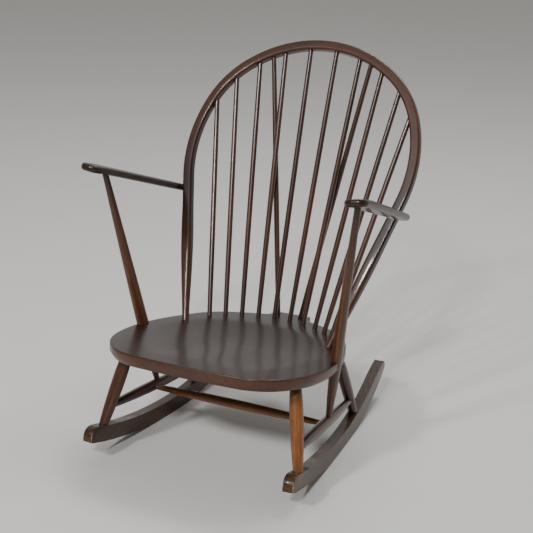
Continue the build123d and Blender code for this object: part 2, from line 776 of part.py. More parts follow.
with BuildPart() as rocker_left:
    with BuildSketch(rocker_side) as rocker_profile:
        with BuildLine():
            low_front = JernArc(touch, (-1, 0), ROCKER_FRONT_RADIUS, -ROCKER_FRONT_ARC)
            low_rear = JernArc(touch, (1, 0), ROCKER_REAR_RADIUS, ROCKER_REAR_ARC)
            low_tail = JernArc(low_rear @ 1, low_rear % 1, ROCKER_TAIL_RADIUS, ROCKER_TAIL_ARC)
            top_front = JernArc(
                crest, (-1, 0), ROCKER_FRONT_RADIUS - ROCKER_DEPTH, -upper_front_arc
            )
            top_rear = JernArc(crest, (1, 0), ROCKER_REAR_RADIUS - ROCKER_DEPTH, ROCKER_REAR_ARC)
            tail_top = low_tail @ 1 + ROCKER_TAIL_DEPTH * Vector(-sin(tail_turn), cos(tail_turn))
            TangentArc(top_rear @ 1, tail_top, tangent=top_rear % 1)
            Line(low_front @ 1, top_front @ 1)
            Line(low_tail @ 1, tail_top)
        make_face()
        nose_low = rocker_profile.vertices().sort_by(Axis.X)[:2].sort_by(Axis.Y)[0]
        tail_ends = rocker_profile.vertices().sort_by(Axis.X)[-2:]
        fillet([nose_low] + tail_ends, ROCKER_CORNER)
        nose_top = rocker_profile.vertices().group_by(Axis.X)[0].sort_by(Axis.Y)[-1]
        fillet(nose_top, ROCKER_NOSE_RADIUS)
    extrude(amount=ROCKER_THICK / 2, both=True)
    sides = rocker_left.faces().filter_by(rocker_side)
    fillet(sides.edges(), ROCKER_EDGE)
    add(front_tenon_socket, mode=Mode.SUBTRACT)
    add(rear_tenon_socket, mode=Mode.SUBTRACT)

# ---- seat, hoop, arms and posts with their sockets --------------------------
with BuildPart() as seat_cuts:
    for _, foot_socket, _ in sticks:
        add(foot_socket)
    add(brace[1])
    add(
        peg(
            hoop_foot - leg_direction * (HOOP_SOCKET + SOCKET_END),
            hoop_foot + leg_direction * HOOP_COLLAR,
            HOOP_FOOT + 2 * TENON_FIT,
        )
    )
    add(front_head_socket)
    add(rear_head_socket)
    add(post_notch.part)
    add(post_screw_cut.part)

with BuildPart() as seat:
    add(seat_blank.part)
    add(dish.part, mode=Mode.SUBTRACT)
    add(seat_cuts.part, mode=Mode.SUBTRACT)
    mirror(seat_cuts.part, about=MIDDLE, mode=Mode.SUBTRACT)

with BuildPart() as hoop_cuts:
    for _, _, top_socket in sticks:
        add(top_socket)
    add(brace[2])
    add(arm_screw_cut.part)

with BuildPart() as hoop:
    add(hoop_blank.part)
    add(hoop_cuts.part, mode=Mode.SUBTRACT)
    mirror(hoop_cuts.part, about=MIDDLE, mode=Mode.SUBTRACT)

with BuildPart() as arm_left:
    add(arm_blank.part)
    with BuildSketch(leg_section(ARM_ON_HOOP)):
        RectangleRounded(HOOP_DEPTH + 2 * SEAM, HOOP_FACE + 2 * SEAM, HOOP_ROUNDING + SEAM)
    extrude(amount=2 * ARM_THICK, both=True, mode=Mode.SUBTRACT)
    add(arm_screw_cut.part, mode=Mode.SUBTRACT)
    add(post_head_socket, mode=Mode.SUBTRACT)

with BuildPart() as arm_post_left:
    add(post_blank.part)
    add(post_screw_cut.part, mode=Mode.SUBTRACT)

with BuildPart() as arm_plug:
    add(arm_plug_bar)
    add(arm_blank.part, mode=Mode.INTERSECT)

with BuildPart() as post_plug:
    add(post_plug_bar)
    add(post_blank.part, mode=Mode.INTERSECT)


# ---- pieces of both sides ---------------------------------------------------
def pair(part):
    """One node with a fastener on each side of the chair."""
    with BuildPart() as both:
        add(part)
        mirror(part, about=MIDDLE)
    return both


pieces = {
    "seat": seat,
    "hoop": hoop,
    "cross_stretcher": cross_stretcher,
    "arm_screws": pair(screw(arm_screw_seat, -arm_out, arm_screw_length)),
    "arm_plugs": pair(arm_plug.part),
    "post_screws": pair(screw(post_screw_seat, -plug_out, post_screw_length)),
    "post_plugs": pair(post_plug.part),
}
handed = {
    "front_leg": front_leg_left.part,
    "rear_leg": rear_leg_left.part,
    "side_stretcher": side_stretcher_left.part,
    "rocker": rocker_left.part,
    "arm": arm_left.part,
    "arm_post": arm_post_left.part,
    "brace": brace[0],
}
for number, (bar, _, _) in enumerate(sticks, start=1):
    handed[f"back_stick_{number}"] = bar
for name, part in handed.items():
    with BuildPart() as left_piece:
        add(part)
    pieces[f"{name}_left"] = left_piece
    pieces[f"{name}_right"] = mirrored(part)

# ---- write one file for each piece ------------------------------------------
os.makedirs("parts", exist_ok=True)
for name, piece in pieces.items():
    piece.part.label = name
    export_step(piece.part, f"parts/{name}.step")
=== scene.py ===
"""Dressed model of a hoop back rocking chair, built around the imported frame.

Sizes are in millimetres and angles in degrees, and a mesh is written in metres. +X is the
sitter's left, +Y the back and +Z up. The floor is Z = 0.
"""

import itertools
import json
import logging
from dataclasses import dataclass, field
from enum import Enum, IntEnum
from math import asin, cos, degrees, exp, pi, radians, sin, sqrt, tan

import bmesh
import bpy
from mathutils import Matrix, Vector

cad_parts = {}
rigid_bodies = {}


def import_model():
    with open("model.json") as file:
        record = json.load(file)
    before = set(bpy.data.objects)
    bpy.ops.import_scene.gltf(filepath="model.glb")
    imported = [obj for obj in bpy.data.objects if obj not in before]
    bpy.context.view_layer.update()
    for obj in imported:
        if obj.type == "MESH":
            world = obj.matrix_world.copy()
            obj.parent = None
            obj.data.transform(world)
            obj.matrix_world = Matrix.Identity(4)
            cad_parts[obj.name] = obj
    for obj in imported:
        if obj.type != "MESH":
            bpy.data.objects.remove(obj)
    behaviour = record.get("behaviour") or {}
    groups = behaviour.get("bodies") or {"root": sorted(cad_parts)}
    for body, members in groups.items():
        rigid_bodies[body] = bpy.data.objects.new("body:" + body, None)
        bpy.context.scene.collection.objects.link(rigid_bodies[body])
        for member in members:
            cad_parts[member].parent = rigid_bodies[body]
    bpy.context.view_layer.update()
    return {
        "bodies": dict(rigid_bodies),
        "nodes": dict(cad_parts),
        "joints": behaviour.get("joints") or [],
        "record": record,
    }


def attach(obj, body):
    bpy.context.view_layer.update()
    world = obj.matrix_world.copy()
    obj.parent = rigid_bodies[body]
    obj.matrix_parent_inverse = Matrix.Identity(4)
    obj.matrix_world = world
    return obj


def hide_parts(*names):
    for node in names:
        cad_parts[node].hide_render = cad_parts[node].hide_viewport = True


MM = 0.001
BODY = "root"
GRAIN = "grain"      # attribute: a point's place in its timber, Z along the grain
WEAR = "wear"        # attribute: how far the stain is rubbed off an edge
TONER = "toner"      # attribute: how heavily the dark toner is sprayed over the stain
BOARD_SHIFT = Vector((0.31, 0.47, 0.83))      # metres between the grain of two boards
WAVE_RATE = 20.0     # radians that a wave texture of scale 1 turns in a metre
LOG = logging.getLogger("rocking_chair")
UP = Vector((0.0, 0.0, 1.0))


class Side(Enum):
    """Side of the chair, as the sitter has it."""

    LEFT = 1
    RIGHT = -1

    @property
    def word(self) -> str:
        """Ending of the names of this side's pieces."""
        return self.name.lower()

    def place(self, point: Vector) -> Vector:
        """Point of this side that matches a point of the left side."""
        return Vector((point.x * self.value, point.y, point.z))


class Board(IntEnum):
    """Number of each group's first board, or of the board between those of a pair."""

    SEAT = 1
    ROCKER_PAIR = 2
    HOOP = 5
    UNDERCARRIAGE = 11
    BACK_STICKS = 21
    ARMS = 41
    PLUG_PAIR = 44


@dataclass(frozen=True)
class Frame:
    """Square frame of reference in the chair."""

    origin: Vector
    x: Vector
    z: Vector

    @property
    def y(self) -> Vector:
        """Second direction of the frame."""
        return self.z.cross(self.x)

    def at(self, x: float, y: float, z: float = 0.0) -> Vector:
        """Point of the chair at a place in this frame."""
        return self.origin + self.x * x + self.y * y + self.z * z

    def place_of(self, point: Vector) -> Vector:
        """Place in this frame of a point of the chair."""
        offset = point - self.origin
        return Vector((offset.dot(self.x), offset.dot(self.y), offset.dot(self.z)))


@dataclass(frozen=True)
class Arc:
    """Round stretch of an outline or a centre line: its radius and how far it turns."""

    radius: float
    turn: float

    @property
    def length(self) -> float:
        """Length of the arc."""
        return self.radius * radians(self.turn)


def walk(start: Vector, heading: float, arcs: tuple[Arc, ...], step: float) -> list[Vector]:
    """Points along a chain of tangent arcs in a flat frame.

    Args:
        start: First point, of two values.
        heading: Direction there, anticlockwise from X.
        arcs: The arcs in order, with a negative radius for a clockwise turn.
        step: Turn between two points.

    Returns:
        The points, ends included.
    """
    points = [start.copy()]
    turn = radians(heading)
    for arc in arcs:
        bend = 1 if arc.radius > 0 else -1
        radius = abs(arc.radius)
        centre = points[-1] + Vector((-sin(turn), cos(turn))) * radius * bend
        count = max(2, round(arc.turn / step))
        for index in range(1, count + 1):
            angle = turn + bend * radians(arc.turn) * index / count
            points.append(centre + Vector((sin(angle), -cos(angle))) * radius * bend)
        turn += bend * radians(arc.turn)
    return points


def nearest(points: list[Vector], place: Vector) -> int:
    """Index of the point nearest to a place."""
    return min(range(len(points)), key=lambda index: (points[index] - place).length)


def rounded(points: list[Vector], corner: int, radius: float, steps: int = 6) -> list[Vector]:
    """Round one corner of a closed outline.

    Args:
        points: The outline.
        corner: Index of the corner's point.
        radius: Radius of the round.
        steps: Number of short sides in the round.

    Returns:
        A new outline, in which the round stands in the corner's place.
    """
    apex = points[corner]
    ahead = [points[(corner + 1 + index) % len(points)] for index in range(len(points) // 3)]
    toward_back = (points[corner - 1] - apex).normalized()
    toward_ahead = (ahead[0] - apex).normalized()
    half_angle = toward_back.angle(toward_ahead) / 2
    reach = radius / tan(half_angle)
    centre = apex + (toward_back + toward_ahead).normalized() * radius / sin(half_angle)
    first = apex + toward_back * reach - centre
    last = apex + toward_ahead * reach - centre
    sweep = first.angle(last)
    arc = []
    for step in range(steps + 1):
        turn = sweep * step / steps
        arc.append(centre + (first * sin(sweep - turn) + last * sin(turn)) / sin(sweep))
    keep = [point for point in points if point is not apex and (point - apex).length > reach]
    after = next(point for point in ahead if point in keep)
    position = next(index for index, point in enumerate(keep) if point is after)
    return keep[:position] + arc + keep[position:]


def rounded_section(
    half_wide: float, half_deep: float, rounding: float, steps: int
) -> list[tuple[float, float]]:
    """Offsets round a rounded rectangle.

    Args:
        half_wide: Half of its width.
        half_deep: Half of its depth.
        rounding: Radius of its corners.
        steps: Short sides in each corner.

    Returns:
        Pairs of offsets across the width and the depth, anticlockwise.
    """
    offsets = []
    for quarter in range(4):
        for step in range(steps + 1):
            angle = pi / 2 * (quarter + step / steps)
            wide = (half_wide - rounding) * (1 if quarter in (0, 3) else -1)
            deep = (half_deep - rounding) * (1 if quarter in (0, 1) else -1)
            offsets.append((wide + rounding * cos(angle), deep + rounding * sin(angle)))
    return offsets


def corner_inset(gap: float, radius: float) -> float:
    """How far a rounded corner stands in at a distance from its end."""
    return radius - sqrt(radius**2 - (radius - gap) ** 2) if gap < radius else 0.0


@dataclass
class Timber:
    """Shape of one wooden piece on the left side, as points with their place in the timber."""

    points: list[Vector] = field(default_factory=list)
    grain: list[Vector] = field(default_factory=list)
    toner: list[float] = field(default_factory=list)
    faces: list[tuple[int, ...]] = field(default_factory=list)

    def ring(self, points: list[Vector], grain: list[Vector], toner: float) -> None:
        """Add a closed ring and join it to the ring before it.

        Args:
            points: The ring's points, as many as in the other rings.
            grain: Their places in the timber.
            toner: How heavily it is toned.
        """
        count = len(points)
        first = len(self.points)
        self.points += points
        self.grain += grain
        self.toner += [toner] * count
        if first:
            for index in range(count):
                after = (index + 1) % count
                self.faces.append(
                    (first - count + index, first - count + after, first + after, first + index)
                )

    def close(self, count: int) -> None:
        """Cap the first and the last ring.

        Args:
            count: Number of points in each ring.
        """
        last = len(self.points) - count
        self.faces.append(tuple(range(count - 1, -1, -1)))
        self.faces.append(tuple(range(last, last + count)))

    def to_object(self, name: str, side: Side, board: int) -> bpy.types.Object:
        """Write the shape as an object.

        Args:
            name: Name of the object.
            side: Side of the chair to put it on.
            board: Number of the board it is cut from, which shifts its grain.

        Returns:
            The new object, linked to the scene.
        """
        mesh = bpy.data.meshes.new(name)
        mesh.from_pydata([side.place(point) * MM for point in self.points], [], self.faces)
        write_grain(mesh, [place * MM for place in self.grain], board)
        write_shares(mesh, TONER, self.toner)
        return finished(name, mesh)


def write_grain(mesh: bpy.types.Mesh, places: list[Vector], board: int) -> None:
    """Write each vertex's place in its timber.

    Args:
        mesh: Mesh of the piece.
        places: Place of each vertex, in metres.
        board: Number of the board, which shifts the places.
    """
    values = [value for place in places for value in place + BOARD_SHIFT * board]
    mesh.attributes.new(GRAIN, "FLOAT_VECTOR", "POINT").data.foreach_set("vector", values)


def write_shares(mesh: bpy.types.Mesh, name: str, shares: list[float]) -> None:
    """Write one number for each vertex, such as its wear."""
    mesh.attributes.new(name, "FLOAT", "POINT").data.foreach_set("value", shares)


def in_scene(name: str, content: bpy.types.ID) -> bpy.types.Object:
    """Put a mesh, a light or a camera into the scene.

    Args:
        name: Name of the object.
        content: What the object holds.

    Returns:
        The new object.
    """
    made = bpy.data.objects.new(name, content)
    bpy.context.scene.collection.objects.link(made)
    return made


def finished(name: str, mesh: bpy.types.Mesh) -> bpy.types.Object:
    """Smooth a mesh and make all its faces point outwards.

    Args:
        name: Name of the object.
        mesh: Mesh of the piece.

    Returns:
        A new object of the mesh.
    """
    work = bmesh.new()
    work.from_mesh(mesh)
    bmesh.ops.recalc_face_normals(work, faces=work.faces)
    work.to_mesh(mesh)
    work.free()
    mesh.shade_smooth()
    return in_scene(name, mesh)


def mark_sharp(piece: bpy.types.Object, angle: float) -> None:
    """Keep the edges of a smooth piece crisp where its faces meet at more than an angle."""
    piece.data.set_sharp_from_angle(angle=radians(angle))


def evaluated(piece: bpy.types.Object) -> bpy.types.Mesh:
    """Apply an object's modifiers to a copy of its mesh.

    Args:
        piece: The object.

    Returns:
        The new mesh.
    """
    graph = bpy.context.evaluated_depsgraph_get()
    graph.update()
    return bpy.data.meshes.new_from_object(piece.evaluated_get(graph), depsgraph=graph)


def hand_over(piece: bpy.types.Object, node: str) -> None:
    """Let a finished piece stand for a node of the frame.

    Args:
        piece: The finished piece.
        node: Node that it stands for.
    """
    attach(piece, BODY)
    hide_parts(node)
    LOG.info("%s stands for %s, %d faces", piece.name, node, len(piece.data.polygons))


# ---- finishes ---------------------------------------------------------------
def linear(colour: str) -> tuple[float, float, float, float]:
    """Linear colour of an sRGB hex value."""
    parts = [int(colour[index : index + 2], 16) / 255 for index in (1, 3, 5)]
    return (*(p / 12.92 if p <= 0.04045 else ((p + 0.055) / 1.055) ** 2.4 for p in parts), 1.0)


def add_node(
    tree: bpy.types.NodeTree,
    kind: str,
    inputs: dict[str | int, object] | None = None,
    **settings: object,
) -> bpy.types.Node:
    """Add a node with its settings and inputs.

    Args:
        tree: Tree that gets the node.
        kind: Type name of the node.
        inputs: Value or linked socket for each input, by name or index.
        settings: Properties of the node.

    Returns:
        The new node.
    """
    made = tree.nodes.new(kind)
    for name, value in settings.items():
        setattr(made, name, value)
    for key, value in (inputs or {}).items():
        if isinstance(value, bpy.types.NodeSocket):
            tree.links.new(value, made.inputs[key])
        else:
            made.inputs[key].default_value = value
    return made


def new_material(name: str) -> tuple[bpy.types.Material, bpy.types.NodeTree, bpy.types.Node]:
    """Start a material with only a surface shader.

    Args:
        name: Name of the material.

    Returns:
        The material, its tree and that shader.
    """
    material = bpy.data.materials.new(name)
    material.use_nodes = True
    tree = material.node_tree
    tree.nodes.clear()
    shader = add_node(tree, "ShaderNodeBsdfPrincipled")
    add_node(tree, "ShaderNodeOutputMaterial", {"Surface": shader.outputs["BSDF"]})
    return material, tree, shader


@dataclass(frozen=True)
class StainedWood:
    """Beech or elm, spirit stained dark walnut and sprayed with satin lacquer.

    The stain lies deeper in the open early wood, so fine dark streaks run along the grain on a
    warmer brown, and short pores break them. The lacquer levels most of the texture and gives a
    soft, clear sheen.
    """

    name: str
    dark: str
    middle: str
    light: str
    toner: str = "#160b05"
    worn: str = "#bd875f"
    dark_to: float = 0.28         # the tones that take the three colours
    middle_at: float = 0.52
    light_from: float = 0.76
    toner_cover: float = 0.9      # share of the stain that full toner hides
    ring_spacing: float = 9.0     # growth rings, drawn wide so that they show as soft bands
    ring_contrast: float = 0.15
    ring_drift: float = 0.06      # how fast they change along the grain
    fibre_width: float = 1.6
    fibre_length: float = 45.0
    cloud_width: float = 85.0
    cloud_length: float = 255.0
    cloud_share: float = 0.4      # of the slow clouds in the tone
    pore_width: float = 0.7       # coarser than real pores, which would not show
    pore_length: float = 6.0
    pore_depth: float = 0.05
    pore_from: float = 0.62       # a pore opens where its noise is over this
    pore_full: float = 0.7
    pore_dark: float = 0.55       # share of the dark colour in a pore
    pore_bump: float = 0.35
    roughness: float = 0.4
    roughness_spread: float = 0.05      # light tones are smoother by this, and dark ones rougher
    shine: float = 0.28           # of the wood below the lacquer
    coat: float = 0.4
    coat_roughness: float = 0.08

    def material(self) -> bpy.types.Material:
        """Build the finish.

        Returns:
            The new material.
        """
        material, tree, shader = new_material(self.name)
        grain = add_node(tree, "ShaderNodeAttribute", attribute_name=GRAIN).outputs["Vector"]
        tone = self._tone(tree, grain)
        noise = self._streaks(tree, grain, self.pore_width, self.pore_length, detail=1.0)
        pores = add_node(
            tree,
            "ShaderNodeMapRange",
            {"Value": noise, "From Min": self.pore_from, "From Max": self.pore_full},
        ).outputs["Result"]
        bump = add_node(
            tree,
            "ShaderNodeBump",
            {"Height": pores, "Strength": self.pore_bump, "Distance": self.pore_depth * MM},
            invert=True,
        )
        gloss = add_node(
            tree,
            "ShaderNodeMapRange",
            {
                "Value": tone,
                "To Min": self.roughness + self.roughness_spread,
                "To Max": self.roughness - self.roughness_spread,
            },
        )
        tree.links.new(self._colour(tree, tone, pores), shader.inputs["Base Color"])
        tree.links.new(bump.outputs["Normal"], shader.inputs["Normal"])
        tree.links.new(gloss.outputs["Result"], shader.inputs["Roughness"])
        shader.inputs["Specular IOR Level"].default_value = self.shine
        shader.inputs["Coat Weight"].default_value = self.coat
        shader.inputs["Coat Roughness"].default_value = self.coat_roughness
        return material

    def _colour(
        self, tree: bpy.types.NodeTree, tone: bpy.types.NodeSocket, pores: bpy.types.NodeSocket
    ) -> bpy.types.NodeSocket:
        """Colour of the stain, with dark pores, the toner over it and the worn edges.

        Args:
            tree: Tree of the material.
            tone: Lightness of the stain.
            pores: Where the pores are.

        Returns:
            The colour.
        """
        ramp = add_node(tree, "ShaderNodeValToRGB", {"Fac": tone})
        stops = ramp.color_ramp.elements
        stops[0].position, stops[0].color = self.dark_to, linear(self.dark)
        stops[1].position, stops[1].color = self.light_from, linear(self.light)
        stops.new(self.middle_at).color = linear(self.middle)
        toned, worn = (
            add_node(tree, "ShaderNodeAttribute", attribute_name=name).outputs["Fac"]
            for name in (TONER, WEAR)
        )
        colour = self._mix(tree, pores, ramp.outputs["Color"], self.dark, self.pore_dark)
        colour = self._mix(tree, toned, colour, self.toner, self.toner_cover)
        return self._mix(tree, worn, colour, self.worn, 1.0)

    @staticmethod
    def _streaks(
        tree: bpy.types.NodeTree,
        grain: bpy.types.NodeSocket,
        width: float,
        length: float,
        detail: float,
    ) -> bpy.types.NodeSocket:
        """Noise drawn out along the grain.

        Args:
            tree: Tree of the material.
            grain: Place in the timber.
            width: Size of the streaks across the grain.
            length: Size along it.
            detail: Octaves of the noise.

        Returns:
            The noise, from 0 to 1.
        """
        stretched = add_node(
            tree,
            "ShaderNodeVectorMath",
            {0: grain, 1: (1.0, 1.0, width / length)},
            operation="MULTIPLY",
        )
        return add_node(
            tree,
            "ShaderNodeTexNoise",
            {"Vector": stretched.outputs["Vector"], "Scale": 1 / (width * MM), "Detail": detail},
        ).outputs["Fac"]

    def _tone(
        self, tree: bpy.types.NodeTree, grain: bpy.types.NodeSocket
    ) -> bpy.types.NodeSocket:
        """Lightness of the stain, from growth rings, fibres and slow clouds.

        Args:
            tree: Tree of the material.
            grain: Place in the timber.

        Returns:
            The tone, from 0 to 1.
        """
        flat = add_node(
            tree,
            "ShaderNodeVectorMath",
            {0: grain, 1: (1.0, 1.0, self.ring_drift)},
            operation="MULTIPLY",
        )
        rings = add_node(
            tree,
            "ShaderNodeTexWave",
            {
                "Vector": flat.outputs["Vector"],
                "Scale": 2 * pi / (WAVE_RATE * self.ring_spacing * MM),
                "Distortion": 3.0,
                "Detail": 2.0,
                "Detail Scale": 0.4,
            },
            wave_type="RINGS",
            rings_direction="Z",
        ).outputs["Fac"]
        fibres = self._streaks(tree, grain, self.fibre_width, self.fibre_length, detail=3.0)
        clouds = self._streaks(tree, grain, self.cloud_width, self.cloud_length, detail=2.0)
        mixed = add_node(
            tree,
            "ShaderNodeMix",
            {"Factor": self.ring_contrast, 2: fibres, 3: rings},
            data_type="FLOAT",
        ).outputs["Result"]
        return add_node(
            tree,
            "ShaderNodeMix",
            {"Factor": self.cloud_share, 2: mixed, 3: clouds},
            data_type="FLOAT",
        ).outputs["Result"]

    @staticmethod
    def _mix(
        tree: bpy.types.NodeTree,
        mask: bpy.types.NodeSocket,
        base: bpy.types.NodeSocket,
        top: str,
        strength: float,
    ) -> bpy.types.NodeSocket:
        """Lay one colour over another where a mask is high.

        Args:
            tree: Tree of the material.
            mask: Where the top colour shows.
            base: Colour below.
            top: Colour above, as an sRGB hex value.
            strength: How much of it covers at most.

        Returns:
            The mixed colour.
        """
        share = add_node(tree, "ShaderNodeMath", {0: mask, 1: strength}, operation="MULTIPLY")
        mix = add_node(      # a Mix node takes its two colours at 6 and 7 and gives one at 2
            tree,
            "ShaderNodeMix",
            {0: share.outputs["Value"], 6: base, 7: linear(top)},
            data_type="RGBA",
        )
        return mix.outputs[2]


@dataclass(frozen=True)
class ScrewSteel:
    """Plain drawn steel of the hidden screws: grey, a little rough, with fine turning marks."""

    name: str = "screw steel, bright drawn"
    colour: str = "#b4b0aa"
    mark_spacing: float = 0.4
    smoothest: float = 0.3
    roughest: float = 0.5

    def material(self) -> bpy.types.Material:
        """Build the finish.

        Returns:
            The new material.
        """
        material, tree, shader = new_material(self.name)
        place = add_node(tree, "ShaderNodeTexCoord").outputs["Object"]
        marks = add_node(
            tree,
            "ShaderNodeTexNoise",
            {"Vector": place, "Scale": 1 / (self.mark_spacing * MM)},
        ).outputs["Fac"]
        rough = add_node(
            tree,
            "ShaderNodeMapRange",
            {"Value": marks, "To Min": self.smoothest, "To Max": self.roughest},
        )
        tree.links.new(rough.outputs["Result"], shader.inputs["Roughness"])
        shader.inputs["Base Color"].default_value = linear(self.colour)
        shader.inputs["Metallic"].default_value = 1.0
        return material


@dataclass(frozen=True)
class StudioFloor:
    """Matt painted studio floor: pale, even, with a very faint mottle from the roller."""

    name: str = "floor paint, matt"
    colour: str = "#d3d2cf"
    mottle: str = "#cfcecb"
    mottle_size: float = 160.0
    roughness: float = 0.75

    def material(self) -> bpy.types.Material:
        """Build the finish.

        Returns:
            The new material.
        """
        material, tree, shader = new_material(self.name)
        place = add_node(tree, "ShaderNodeTexCoord").outputs["Object"]
        cloud = add_node(
            tree,
            "ShaderNodeTexNoise",
            {"Vector": place, "Scale": 1 / (self.mottle_size * MM), "Detail": 3.0},
        ).outputs["Fac"]
        ramp = add_node(tree, "ShaderNodeValToRGB", {"Fac": cloud})
        ramp.color_ramp.elements[0].color = linear(self.mottle)
        ramp.color_ramp.elements[1].color = linear(self.colour)
        tree.links.new(ramp.outputs["Color"], shader.inputs["Base Color"])
        shader.inputs["Roughness"].default_value = self.roughness
        return material


@dataclass(frozen=True)
class Finishes:
    """Every finish of the chair, each made once."""

    seat: bpy.types.Material
    bent: bpy.types.Material
    stick: bpy.types.Material
    pale: bpy.types.Material
    post: bpy.types.Material
    rocker: bpy.types.Material
    plug: bpy.types.Material
    steel: bpy.types.Material

    @classmethod
    def mix(cls) -> "Finishes":
        """Make the finishes.

        Returns:
            The finishes, each with a material of its own.
        """
        return cls(
            seat=StainedWood(
                "elm, dark walnut stain, satin lacquer", "#2c1307", "#4a2610", "#683c1d",
                ring_spacing=16.0, ring_contrast=0.08,
                roughness=0.36, shine=0.42, coat=0.22, coat_roughness=0.14,
            ).material(),
            bent=StainedWood(
                "bent beech, dark walnut stain, satin lacquer", "#24110a", "#432414", "#633c1f",
            ).material(),
            stick=StainedWood(
                "turned beech, dark walnut stain, satin lacquer", "#22110a", "#432618", "#62402b",
                coat=0.8, coat_roughness=0.2,
            ).material(),
            post=StainedWood(
                "shaped beech, brown walnut stain, satin lacquer", "#28140a", "#4f2d1a", "#6d4328",
            ).material(),
            # a lighter copy of the turned finish: painted front light on the left front leg and
            # the cross stretcher
            pale=StainedWood(
                "turned beech, warm walnut stain, satin lacquer", "#45230e", "#81502a", "#aa7340",
            ).material(),
            rocker=StainedWood(
                "sawn beech, dark walnut stain, satin lacquer", "#20140c", "#3f2819", "#5c3e29",
            ).material(),
            plug=StainedWood(
                "beech end plug, worn stain", "#96614a", "#c08c70", "#dcab90",
                fibre_length=2.0, pore_length=0.8,
            ).material(),
            steel=ScrewSteel().material(),
        )


# ---- seat, rockers and hoop -------------------------------------------------
@dataclass(frozen=True)
class SeatBoard:
    """Saddled seat: one elm board, hollowed on top and bevelled underneath."""

    tilt: float = 7.2
    zero_y: float = -109.0
    height: float = 272.4
    thick: float = 31.0
    front: float = 284.0
    side_arcs: tuple[Arc, ...] = (
        Arc(1742.0, 4.5), Arc(140.0, 40.5), Arc(190.0, 35.0), Arc(380.0, 26.0),
        Arc(650.0, 12.0), Arc(180.0, 32.0), Arc(600.0, 10.0),
    )
    back: float = 290.0
    bobtail_half: float = 52.0
    bobtail: float = 26.0
    bobtail_root: float = 80.0
    bobtail_angle: float = 80.0
    bobtail_corner: float = 9.0
    bevel: float = 9.0
    bevel_rise: float = 13.0
    lip: float = 3.0
    lip_steps: int = 4
    dish_depth: float = 14.0
    dish_half: float = 226.0
    dish_front: float = 262.0
    dish_back: float = 172.0
    dish_softness: float = 1.6    # the rim of the hollow is rounded over by about this much
    pommel_rise: float = 8.0
    pommel_half: float = 62.0
    bare_edge: float = 0.75       # how much of the toner the edge goes without
    bottom_toner: float = 0.6
    heart_y: float = 20.0         # middle of the mesh's rings
    rings: int = 44
    curve_step: float = 2.5
    bottom_ring: float = 0.9      # of the way from the bottom's edge to the heart
    crisp: float = 40.0           # edges that turn by more than this stay sharp

    @property
    def frame(self) -> Frame:
        """Frame on the seat's flat top."""
        up = Vector((0, sin(radians(self.tilt)), cos(radians(self.tilt))))
        return Frame(Vector((0, self.zero_y, self.height)), Vector((1, 0, 0)), up)

    def hollow(self, x: float, y: float) -> float:
        """Depth of the hollow below the flat rim.

        Args:
            x: Place on the seat, across it.
            y: Place on the seat, towards its back.

        Returns:
            The depth there.
        """
        reach = self.dish_front if y < 0 else self.dish_back
        depth = self.dish_depth * (1 - (x / self.dish_half) ** 2 - (y / reach) ** 2)
        forward = min(max(-y / self.dish_front, 0), 1)
        depth -= self.pommel_rise * forward * exp(-((x / self.pommel_half) ** 2))
        return (depth + sqrt(depth**2 + self.dish_softness**2)) / 2

    def outline(self) -> list[Vector]:
        """Outline of the seat's top, whose bobtail cuts across the curved back.

        Returns:
            The points, anticlockwise from the middle of the front.
        """
        half = walk(Vector((0, -self.front)), 0, self.side_arcs, self.curve_step)
        tip_y = self.back + self.bobtail
        lean = 1 / tan(radians(self.bobtail_angle))
        tip_x = self.bobtail_half + self.bobtail / 2 - self.bobtail_root * lean
        gaps = [point.x - tip_x - (tip_y - point.y) * lean for point in half]
        kept = [point for point, gap in zip(half, gaps) if point.y < 0 or gap > 0]
        count = len(kept)
        share = gaps[count - 1] / (gaps[count - 1] - gaps[count])
        root = kept[-1].lerp(half[count], share)
        side = kept + [root, Vector((tip_x, tip_y))]
        points = side + [Vector((-point.x, point.y)) for point in reversed(side[1:])]
        for corner in (root, side[-1]):
            for mirror in (1, -1):
                index = nearest(points, Vector((corner.x * mirror, corner.y)))
                points = rounded(points, index, self.bobtail_corner)
        return points

    def build(self, finish: bpy.types.Material) -> None:
        """Build the seat and let it stand for its node.

        Args:
            finish: Finish of the board.
        """
        outline = self.outline()
        normals = self._outward(outline)
        inner = [p - n * self.lip for p, n in zip(outline, normals)]
        heart = Vector((0, self.heart_y))
        shape = Timber()
        for ring in range(1, self.rings + 1):      # the saddled top
            share = ring / self.rings
            plan = [heart.lerp(p, share) for p in inner]
            self._lay(shape, [Vector((p.x, p.y, -self.hollow(p.x, p.y))) for p in plan], 1.0)
        for step in range(1, self.lip_steps + 1):      # the rounded lip
            turn = pi / 2 * step / self.lip_steps
            out, down = self.lip * sin(turn), self.lip * (1 - cos(turn))
            lip = [(p + n * out).to_3d() - UP * down for p, n in zip(inner, normals)]
            self._lay(shape, lip, 1 - self.bare_edge * step / self.lip_steps)
        rise = self.thick - self.bevel_rise      # the side, the bevel and the bottom
        self._lay(shape, [p.to_3d() - UP * rise for p in outline], 1 - self.bare_edge)
        low = [(p - n * self.bevel).to_3d() - UP * self.thick for p, n in zip(outline, normals)]
        self._lay(shape, low, self.bottom_toner)
        middle = heart.to_3d() - UP * self.thick
        inside = [point.lerp(middle, self.bottom_ring) for point in low]
        self._lay(shape, inside, self.bottom_toner)
        shape.close(len(outline))
        piece = shape.to_object("saddled_seat", Side.LEFT, Board.SEAT)
        mark_sharp(piece, self.crisp)
        piece.data.materials.append(finish)
        hand_over(piece, "seat")

    @staticmethod
    def _outward(outline: list[Vector]) -> list[Vector]:
        """Find which way an outline faces.

        Args:
            outline: Points, anticlockwise.

        Returns:
            Outward direction at each point.
        """
        normals = []
        for index in range(len(outline)):
            ahead = outline[(index + 1) % len(outline)]
            tangent = (ahead - outline[index - 1]).normalized()
            normals.append(Vector((tangent.y, -tangent.x)))
        return normals

